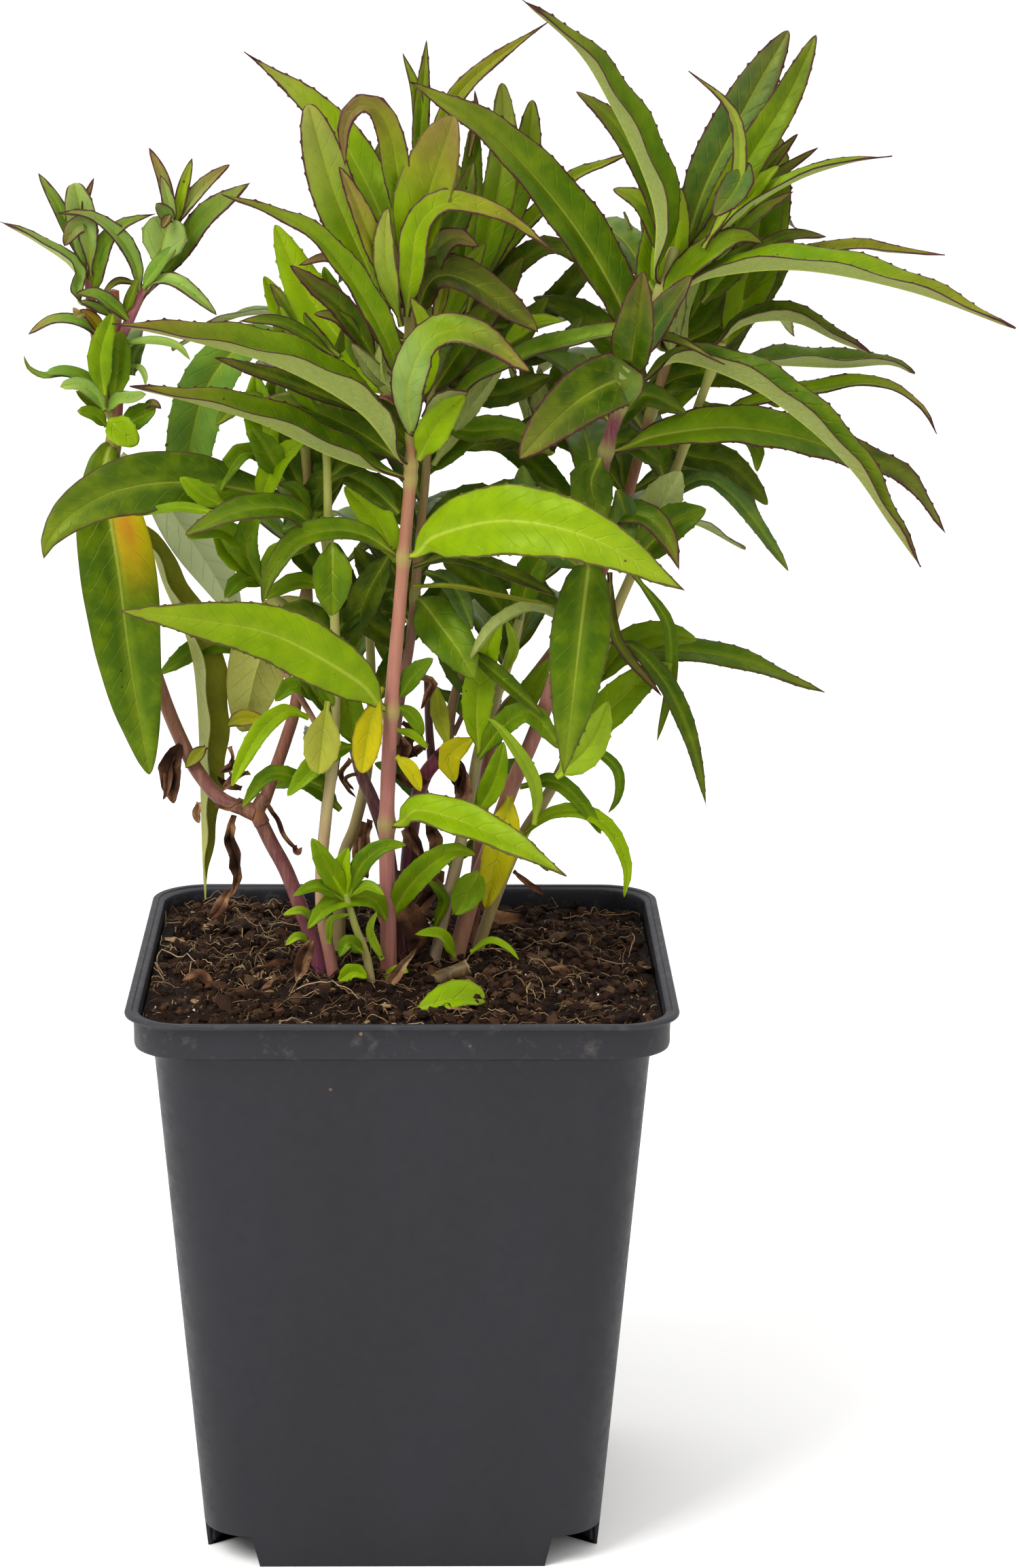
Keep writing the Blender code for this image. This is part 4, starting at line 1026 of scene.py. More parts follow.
# %% [markdown]
# The upper side is the leaf's own green, mottled darker and lighter, paler beside the midrib and on the
# veins. The underside is duller and greyer, with clearer veins. One colour is mixed into the other by
# which side a point lies on, and the midrib goes over both.

# %% Leaf blade: greens
darker = node("MapRange", mottle, 0.3, 0.75, 0.0, 0.2, **SOFT)
lighter = node("MapRange", mottle, 0.62, 0.3, 0.0, 0.16, **SOFT)
colour = node("Mix", darker, own, linear("#2c4608"), **COLOURS)
colour = node("Mix", lighter, colour, linear("#8d9c06"), **COLOURS)
colour = node("Mix", node("Math", beside_rib, 0.16, **TIMES), colour, linear("#94a526"), **COLOURS)
colour = node("Mix", node("Math", vein, 0.07, **TIMES), colour, linear("#93a838"), **COLOURS)
dull = node("Mix", 0.62, own, linear("#989d56"), **COLOURS)
dull = node("Mix", node("MapRange", grain, 0.4, 0.7, 0.0, 0.2, **SOFT), dull, linear("#a3b184"), **COLOURS)
dull = node("Mix", node("Math", vein, 0.3, **TIMES), dull, linear("#7f9a55"), **COLOURS)
colour = node("Mix", under, colour, dull, **COLOURS)
colour = node("Mix", node("Math", midrib, 0.42, **TIMES), colour, linear("#b4bb4c"), **COLOURS)
print("with greens", len(blade.node_tree.nodes), "nodes")

# %% [markdown]
# The purple flush is strongest at the tip and along the margin. The margin's line is about 0.4 mm wide,
# and noise makes it thinner and thicker. Specks are the few cells of a Voronoi pattern that draw a high
# number, and only their middles are coloured.

# %% Leaf blade: flush, margin line and specks
flush_tip = node("Math", flush, node("MapRange", share, 0.45, 1.05, **SOFT), **TIMES)
flush_edge = node("Math", flush, node("MapRange", edge_mm, 1.4, 0.0, **SOFT), **TIMES)
flushed = node("Math", node("Math", flush_tip, 0.45, **TIMES), node("Math", flush_edge, 0.3, **TIMES),
               operation="ADD", use_clamp=True)
colour = node("Mix", flushed, colour, linear("#683c34"), **COLOURS)
line_width = node("MapRange", wander, 0.35, 0.65, 0.26, 0.52, **SOFT)
line = node("MapRange", node("Math", edge_mm, line_width, operation="DIVIDE"), 1.15, 0.55, **SOFT)
line = node("Math", line, node("MapRange", flush, 0.0, 0.5, 0.1, 0.95, **SOFT), **TIMES)
colour = node("Mix", line, colour, linear("#3a1222"), **COLOURS)
from_middle, cell_colour = node("TexVoronoi", node("TexCoord", out="Object"), Scale=230.0,
                                out="Distance Color")
fleck = node("MapRange", from_middle, 0.085, 0.05, **SOFT)
picked = node("MapRange", node("SeparateColor", cell_colour), 0.84, 0.86, **SOFT)
fleck = node("Math", fleck, picked, **TIMES)
colour = node("Mix", node("Math", fleck, 0.8, **TIMES), colour, linear("#2d1c10"), **COLOURS)
shader_input(blade, "Base Color", colour)
print("with specks", len(blade.node_tree.nodes), "nodes")

# %% [markdown]
# The waxy upper side is satin, and the underside is rougher. Grain stands up a little and the veins lie
# in shallow grooves, which a bump of 0.16 mm shows.

# %% Leaf blade: gloss and relief
gloss = node("MapRange", mottle, 0.3, 0.7, 0.34, 0.46, **SOFT)
gloss = node("Math", gloss, node("Math", under, 0.16, **TIMES), operation="ADD")
shader_input(blade, "Roughness", gloss)
raised = node("Math", node("Math", grain, 0.35, **TIMES), node("Math", vein, 0.5, **TIMES),
              operation="SUBTRACT")
shader_input(blade, "Normal", node("Bump", Height=raised, Distance=0.16 * MM))
print(blade.name, len(blade.node_tree.nodes), "nodes")

# %% [markdown]
# Each long leaf is one piece over one solid of the CAD. It starts inside its stem's skin, leaves the stem
# squarely and then passes through the points of its row.

# %% The long leaves, one to each solid
# Each row: its name, its stem and the height where it grows; its points to the tip (across, up, back); its
# width, its roll (from facing up towards facing the front; negative shows the underside, and two numbers
# are for the base and the tip), its fold, tones, flush and other settings of a leaf.
LEAVES = """
front_leaf_low, front_stem, 147: 4 149.8 -18, 18 145 -26, 33.8 136 -34: 8.5, 50, 22, fresh, 0.35
front_leaf_left, front_stem, 171: -10 177.5 -20, -26 186.5 -29, -42 189.8 -37, -58.5 191.8 -42: 12, 70, 8,
  fresh, 0.35
front_leaf_right, front_stem, 203: 7 207.5 -18, 21 210.5 -27, 38 207 -34, 57.4 196.2 -40: 14.5, 68, 8,
  fresh, 0.35
front_leaf_long_left, front_stem, 222: -9 233 -20, -24 241.5 -29, -40 246.4 -35, -58.5 250.5 -39: 15,
  12 34, 45, bright bright bright olive, 0.75, tip 0.95, broad 0.4
front_leaf_second_left, front_stem, 219: -14 223.6 -16, -29 230.5 -21, -44 235 -24, -55.2 237.7 -26: 12,
  14 28, 44, dark mid bright olive, 0.6, tip 0.95, broad 0.4
front_leaf_arch, front_stem, 228: 1 238 -22, 5 247 -28, 13 249 -32, 25.4 241 -38: 8, 55, 15,
  sage sage sage bright mid olive, 0.8, tip 0.62, broad 0.45, stalk 0.2
front_leaf_upper_left, front_stem, 238: -4 248 -19, -11 260 -23, -20 269.5 -26, -36.3 276.4 -28: 7, 40, 25,
  bright, 0.7
front_leaf_bright, front_stem, 236: -7 241 -8, -14 249 -5, -20 258 -3, -25.7 270.3 -1: 10, 75, 10, fresh,
  0.1, tip 0.62, broad 0.45
top_leaf_broad, front_stem, 247: -7 261 -12, -14 277 -12, -19 294.2 -11: 9.6, 74, 16, mid bright pale, 0.5,
  tip 0.45, broad 0.6
top_leaf_left, front_stem, 258: -4 271 -4, -11 285 2, -19 294.8 3, -31.6 304.3 4: 9.5, 66, 16,
  mid bright fresh pale, 0.6, tip 1.2, broad 0.42
top_leaf_right, front_stem, 254: 2.6 266 -15, 5.2 277 -16, 10 292 -17: 13, 78, 24,
  bright fresh fresh olive mauve, 0.3, tip 0.5, broad 0.62, turn 24
second_leaf_low, second_stem, 195: 7 189.5 -5, 11 184 -9, 14.5 177.8 -12: 10, 75, 10, mid, 0.1, tip 0.62,
  broad 0.45
second_leaf_long, second_stem, 229: 14 238.5 0, 26 244.5 -5, 40 248.3 -10, 52 248 -13, 64.8 242.7 -18: 7,
  30, 22, mid, 0.5
right_leaf_hanging, purple_right_stem, 202: 37.5 199.5 -13, 36 186 -17, 34.6 172 -19, 33 157.5 -19: 12, 86,
  8, dark mid, 0.2
right_leaf_dark, purple_right_stem, 234: 43 239 -17, 36.5 236 -23, 29.5 230 -28, 23.4 223.3 -32: 12, 72,
  14, sage deep dark mid, 0.8, tip 0.62, broad 0.42, stalk 0.3
right_leaf_raised, purple_right_stem, 240: 46.4 247 -20, 47.2 253 -25, 48 261.3 -28: 9.5, 80, 30,
  dark dark, 0.8, tip 0.6, broad 0.5, turn 10
right_leaf_arch, purple_right_stem, 239: 55 243.3 -6, 68 239.3 -13, 80 231.5 -19, 91 221.3 -24,
  99 210.3 -27, 105.7 201.3 -28: 12, 12, 60, mid mid bright, 0.6, tip 0.9, broad 0.45
right_leaf_long, purple_right_stem, 225: 52 228 -4, 66 229.6 0, 80 227.6 3, 92 223.6 5, 102 219.5 6,
  110.4 208.3 6: 10, 50, 20, mid bright mid deep teal, 0.5, tip 0.95, broad 0.42
right_leaf_broad, purple_right_stem, 243: 44.5 252 -4, 36.8 266 -4, 27 278.8 -5, 16 289.5 -7, 1.2 298.5 -8:
  12, 66, 26, dark mid bright, 0.6, tip 0.8, broad 0.42, turn -20
right_top_leaf_tall, purple_right_stem, 259: 50.6 272 -14, 47.2 282.5 -16, 41.2 294.5 -18, 34.5 305 -19,
  23.4 314.8 -20: 13, 59, 44, mid, 0.6, turn -62, tip 1.1, broad 0.42
right_top_leaf_wide, purple_right_stem, 257: 63 260.6 -14, 80 261.8 -21, 102 257.6 -28, 123.3 250 -33:
  11.5, 12, 40, bright bright olive, 0.5, tip 0.9, broad 0.42
right_top_leaf_dark, purple_right_stem, 264: 60.5 279 -4, 69.5 297 0, 76.2 309 2: 10.5, 70, 20,
  dark teal teal, 0.5, tip 0.6, broad 0.5
right_torn_leaf, purple_right_stem, 210: 44.5 211.8 -12, 49.5 211.3 -15, 53.6 207 -17, 56.2 200.5 -18: 6.5,
  45, 15, dark, 0.6
rear_leaf_upright, right_rear_stem, 233: 57 243 17, 58 260 18: 9, 70, 8, bright, 0.3
outer_leaf_upright, pale_outer_stem, 245: 68.5 256 9, 72 270 12, 75 288 13: 11, 72, 18, bright bright mid,
  0.4, tip 0.55, broad 0.5
outer_leaf_dark, pale_outer_stem, 241: 74 242.6 12, 88 242.2 20, 98 242.8 24, 103.2 240.8 26: 9.5, 14, 40,
  mid, 0.4, tip 0.8, broad 0.5
outer_leaf_bright, pale_outer_stem, 228: 70 234.5 12, 84 237.6 18, 95 238.8 22, 104 234.6 25, 108 228.6 26:
  5, 32, 24, bright fresh fresh mauve, 0.6, tip 0.95, broad 0.5
outer_leaf_low, pale_outer_stem, 178: 48 183.3 9, 66 182.4 13, 86.5 175 15: 7, 40, 14, mid, 0.3
outer_leaf_drooping, pale_outer_stem, 186: 47.5 184 0, 54.5 175.5 -3, 59.4 164 -5, 62.6 150.8 -5: 4.5, 40,
  18, dark, 0.2
left_leaf_blotched, left_branch_stem, 226: -60.6 220.5 -4, -59.6 211 -7, -57.9 199 -9, -55.8 180 -10,
  -52.3 157.5 -8: 15.6, 84, 10, dark dark mid, 0.1, tip 0.66, broad 0.42, margin 0, stalk 0.1
left_leaf_hanging, left_branch_stem, 216: -56 211 4, -51.5 205.5 6, -48.6 197 7, -44.8 188 6, -42.9 181 5,
  -42 170 4, -41.7 155 3, -41.5 142 3, -41.2 131 3: 12.6, 88, 52, olive, 0.1, turn -60, tip 1.2,
  broad 0.52, margin 0
left_shoot_leaf, left_tip_shoot, 254: -66 261.3 -2, -73 266.6 -3, -80.4 270.7 -4: 4.4, 18, 40, moss sage,
  0.5, tip 0.9, broad 0.45
left_top_leaf, left_branch_stem, 252: -47 261.5 3, -40.3 270.6 0, -30.7 278.6 -6: 6, 52, 18, dark mid moss,
  0.7, tip 0.9, broad 0.66
left_leaf_dark, right_branch_stem, 213: -32 216.6 -10, -46 218.2 -17, -58 216.4 -22, -67 211.8 -26,
  -71.8 206.6 -28, -73.2 202.5 -28: 13, 64, 12, mid dark dark mid, 0.3, tip 0.85, broad 0.56, margin 0
left_leaf_pale, right_branch_stem, 194: -25.5 190 1, -30 180 2, -33 166.5 3: 13, -84, 8, gold, 0.1,
  tip 0.5, broad 0.44, margin 0
left_leaf_small, pale_left_stem, 208: -24 212.8 -17, -34 212.3 -23, -44.3 207.5 -27: 6.5, 50, 14, dark mid,
  0.3, tip 0.62, broad 0.45
"""
USUAL_FORM = {"tip": 0.95, "broad": 0.42}
# Stains: from and to across the blade, start and end along it, tone.
STAINS = {"left_leaf_blotched": [(-1.2, -0.02, 0.1, 0.52, "sun"), (-0.75, -0.05, 0.14, 0.48, "amber")]}

leaf_heights = []
for number, ((name, stem, up), points, (width, roll, fold, tone, flush, *more)) in enumerate(table(LEAVES)):
    up, width, roll, fold, flush = numbers([up, width, roll, fold, flush])
    form = settings(more) if more else USUAL_FORM
    shape = leaf_from_stem(stem, up, numbers(points), width, roll, fold, tone, flush, seed=number,
                           stains=STAINS.get(name, ()), **form)
    piece(name + "_blade", shape, blade, [name], sharp=60)
    leaf_heights.append((stem, up))
print("long leaves", len(leaf_heights))

# %% [markdown]
# ## The plant's back
# The leaves at the back follow a rule: a leaf grows from a stem at a height and a turn, and its arch is
# given as shares of its length. Three stems at the back carry a pair each, and short tips end them.

# %% Leaves at the back
# Stems that carry opposite pairs: the height of the pair, the leaf's length and its width.
BACK_PAIRS = {"back_stem": (236, 62, 9), "back_left_stem": (200, 56, 9), "back_right_stem": (196, 54, 9)}
PAIR_ARCH = np.array([(0.35, 0.2), (0.7, 0.24), (1.0, 0.1)])  # how far out and up, as shares of the length
TIP_ARCH = np.array([(0.16, 0.35), (0.28, 0.7), (0.36, 1.0)])
# Leaves that grow to the back of every stem: the height, the turn (0 right, 90 back), length and width.
REAR_LEAVES = {
    "front_stem": [(232, 78, 44, 9), (250, 112, 40, 8)],
    "second_stem": [(198, 75, 44, 9), (214, 112, 50, 10), (230, 68, 50, 9), (243, 108, 46, 9)],
    "purple_right_stem": [(214, 95, 50, 10), (230, 124, 46, 10), (245, 76, 54, 11), (256, 112, 48, 9),
                          (262, 50, 44, 8)],
    "pale_outer_stem": [(202, 84, 44, 8), (217, 104, 48, 9), (238, 64, 50, 9)],
    "right_rear_stem": [(214, 92, 50, 10), (229, 116, 50, 10), (243, 72, 48, 9)],
    "right_branch_stem": [(204, 100, 44, 9), (220, 76, 48, 9)],
    "pale_left_stem": [(212, 88, 46, 9), (227, 112, 44, 9)],
    "left_branch_stem": [(208, 94, 42, 9), (238, 86, 34, 7)],
    "back_stem": [(178, 98, 44, 9), (198, 72, 42, 10), (198, 118, 42, 10), (217, 96, 38, 9)],
    "back_left_stem": [(152, 96, 38, 8), (176, 66, 42, 9), (178, 108, 40, 9)],
    "back_right_stem": [(164, 84, 38, 8), (180, 108, 38, 9), (182, 66, 38, 9), (208, 92, 30, 8)],
}
BACK_TIPS = {"back_stem": (249, 32, 7), "back_left_stem": (221, 26, 6), "back_right_stem": (224, 26, 6),
             "right_rear_stem": (245, 34, 7)}


def paired_leaf(stem, up, angle, length, width, arch=PAIR_ARCH, **more):
    """A leaf from a stem at a turn round it: it rises, then arches over or stands up, as 'arch' says."""
    spot, forward, radius = stem_spot(stem, up)
    out = np.array([math.cos(angle), math.sin(angle), 0.0])
    knots = spot + out * length * arch[:, :1] + UP * length * arch[:, 1:]
    start = [spot + out * radius * 0.35, spot + out * (radius + 2.0) + UP * 1.4]
    return leaf(np.vstack([start, knots]), width, 0.0, **more)


for stem, (up, length, width) in BACK_PAIRS.items():
    for side in (0, 1):
        name = f"{stem.replace('_stem', '')}_leaf_{side + 1}"
        turn = math.radians(25 + 130 * side)
        shape = paired_leaf(stem, up, turn, length, width, seed=70 + side + int(up))
        piece(name + "_blade", shape, blade, [name], sharp=60)

rear = [paired_leaf(stem, up, math.radians(turn), length, width, fold=22.0, seed=500 + up + turn,
                    tone="dark mid bright", tip=0.9, broad=0.42)
        for stem, rows in REAR_LEAVES.items() for up, turn, length, width in rows]
rear += [paired_leaf(stem, up, math.radians(50 + 72 * k), length * (1 - 0.08 * k), width, arch=TIP_ARCH,
                     fold=26.0, seed=600 + k, tone="mid bright", tip=0.9)
         for stem, (up, length, width) in BACK_TIPS.items() for k in range(5)]
piece("rear_leaves", join(rear), blade, sharp=60)
print("leaves to the back", len(rear))

# %% [markdown]
# ## Withered leaves
# Old leaves low down hang dry and crumpled. Each is drawn like a small leaf but folded hard, and value
# noise pushes its sheet in and out, so no two crumple alike. Noise also picks its brown.

# %% Withered leaves
# Each row: its points (across, up); its width, how far back its base and tip lie, its roll and its fold.
WITHERED_LEAVES = """
-45.6 164, -47.2 161, -48 156.5, -47.5 151.2: 6.4, -3 -6, 78, 46
-47.3 162, -48.6 157, -49.3 152.4: 4, -4 -7, 60, 60
-35.7 163.6, -35.2 161, -36 158.6, -34.4 156: 1, -7 -8, 70, 40
-32.8 160.6, -35.2 159.2, -38 157.8: 4.2, -8 -9, 64, 60
-32 157.6, -34.8 156.4, -37.6 154.4: 3.4, -6 -9, 50, 50
-33.8 154.6, -36.6 155.6, -38.4 157.4: 2, -6 -8, 80, 40
-35.2 149, -36 144, -34.8 140, -34.4 136, -36 131.5: 4.4, -6 -10, 84, 56
-36.4 133, -38.4 129, -40.6 126.4: 3.6, -8 -8, 70, 40
-29 152, -26.6 148.6, -25.2 144.8, -21.6 141.2: 1.7, -6 -7, 62, 50
-22.4 142.6, -21.8 141, -20.8 142.4: 1.6, -7 -8, 60, 30
-42.6 152, -42.6 150, -42 147.4: 2.6, -6 -7, 70, 50
-38.6 151.4, -36 150.6, -33.2 151.4: 1.8, -7 -8, 70, 50
-11 160.8, -13 158, -12.2 155.4, -10.2 152.4: 2.2, -4 -7, 70, 60
-9.6 158, -11.8 156.6, -10.6 154.4: 2, -4 -7, 60, 60
3.2 178.6, 5.8 177, 4.6 173.6, 3.4 171.6: 3.6, -6 -8, 66, 60
6.2 162.4, 9.2 160, 11.4 157.4, 10.6 153: 4.6, -3 -6, 70, 60
9.4 161.6, 11.6 159.2, 12.8 156.4: 3, -3 -5, 56, 50
-0.6 168.4, 2.2 166, 4.4 162.6: 3, -6 -7, 66, 60
-7 148, -7.6 144, -7.2 139.6, -8 135.6: 3.4, -4 -6, 80, 56
-9 144, -8.6 139, -9.6 134: 3, -3 -5, 76, 60
2.8 150.6, 1 147, 2.4 143, 4.4 139: 4.6, -3 -5, 80, 60
0 146, 3 141, 2 136: 4.6, 0 -3, 80, 60
-2 132, 0.4 128.6, 2.8 124, 2.2 118.6: 6.8, -5 -9, 84, 24
-5.6 110.4, -3.4 112, -0.6 115.6, 2.4 120.4: 3.2, -19 -21, 70, 50
-19 122, -20.4 118.6, -22.6 113.4: 4.4, -14 -17, 78, 40
-8.6 109.6, -10.4 107.6, -12.4 106.4: 4.6, -22 -26, 40, 30
-14 113.4, -16 112.4, -18 110.6: 4, -16 -19, 50, 40
-24 117.4, -28 115.4, -31.6 116.4: 3.4, -6 -10, 50, 40
-30.4 108, -27.6 111.4, -24.8 114.4: 4, -22 -16, 40, 40
3 166.8, 0.8 164.4, 2.4 161.2: 3.6, 2 0, 70, 50
5 164.2, 3 162.4, 0.6 160.6: 3.4, 2 1, 60, 50
-1.6 167, -0.4 163, -1.4 158.6: 4.4, 1 0, 78, 40
-2 157.6, 1.6 155.4, 5.2 156.6: 3.4, 1 1, 60, 50
8.2 161, 10.4 158, 12.2 154.4, 10 150.4: 5.8, -2 -6, 74, 50
-8 147.4, -9.2 141, -7.6 135.6: 5, 0 -2, 76, 50
4.6 148, 6.6 143, 5.2 138: 4.6, 0 -3, 76, 50
2 139, 5.6 134.4, 9.4 131: 5, 2 0, 66, 50
-1 137, -4.2 130, -3 123: 5.4, 2 -2, 80, 44
8 137, 5 131, 1.4 127: 5, 4 2, 70, 50
16 130, 20 126.6, 25.4 127: 3.6, 10 12, 50, 40
22.6 137, 25.6 134.4, 28.8 131.8: 1.8, 4 6, 60, 40
-4.8 236, -3 235.4, -1 233.8: 2, -16 -17, 70, 40
4.4 107.4, 8 109, 13 111.4: 2.6, -32 -28, 40, 40
27 113, 31 115, 36 113.4: 3.4, -6 -9, 40, 30
-40 112, -43 114.4, -46 113.4: 3, -16 -18, 40, 30
"""
WITHERED_CODES = ["#26170f", "#4a3022", "#6d4a34", "#8a6646", "#a98a64"]


def withered_leaf(points, width, backs, roll, fold, seed):
    """A dead leaf: folded hard, its sheet pushed in and out by value noise, its colour from noise."""
    shape = drawn_leaf(points, width, backs, roll, "brown", fold=fold, wave=1.1, seed=seed, margin=0.3)
    x, y, z = shape["points"].T
    shape["points"] = shape["points"] + np.stack(
        [0.5 * value_noise(z, y, 2.6, seed), 0.9 * value_noise(x, z, 2.2, seed + 1),
         0.4 * value_noise(x, z, 3.0, seed + 2)], axis=1)
    shade = 0.45 + 0.5 * value_noise(x, z, 1.8, seed + 3) + np.random.default_rng(seed).uniform(-0.2, 0.2)
    shape["values"] = {"own_colour": colour_mix(WITHERED_CODES, np.clip(shade, 0, 1))}
    return shape


withered = [withered_leaf(numbers(points), *numbers(rest), seed=900 + 7 * k)
            for k, (points, rest) in enumerate(table(WITHERED_LEAVES))]
piece("withered_leaves", join(withered), litter, sharp=60)
print("withered leaves", len(withered))

# %% [markdown]
# ## Small leaves
# Between the long leaves grow many small ones: bracts and young tips, the leaves of side shoots, and short
# leaves low down. They are drawn flat on the sheet and then set back, which suits small leaves that are
# seen mostly from the front. The leaves of one shoot are joined to one piece.

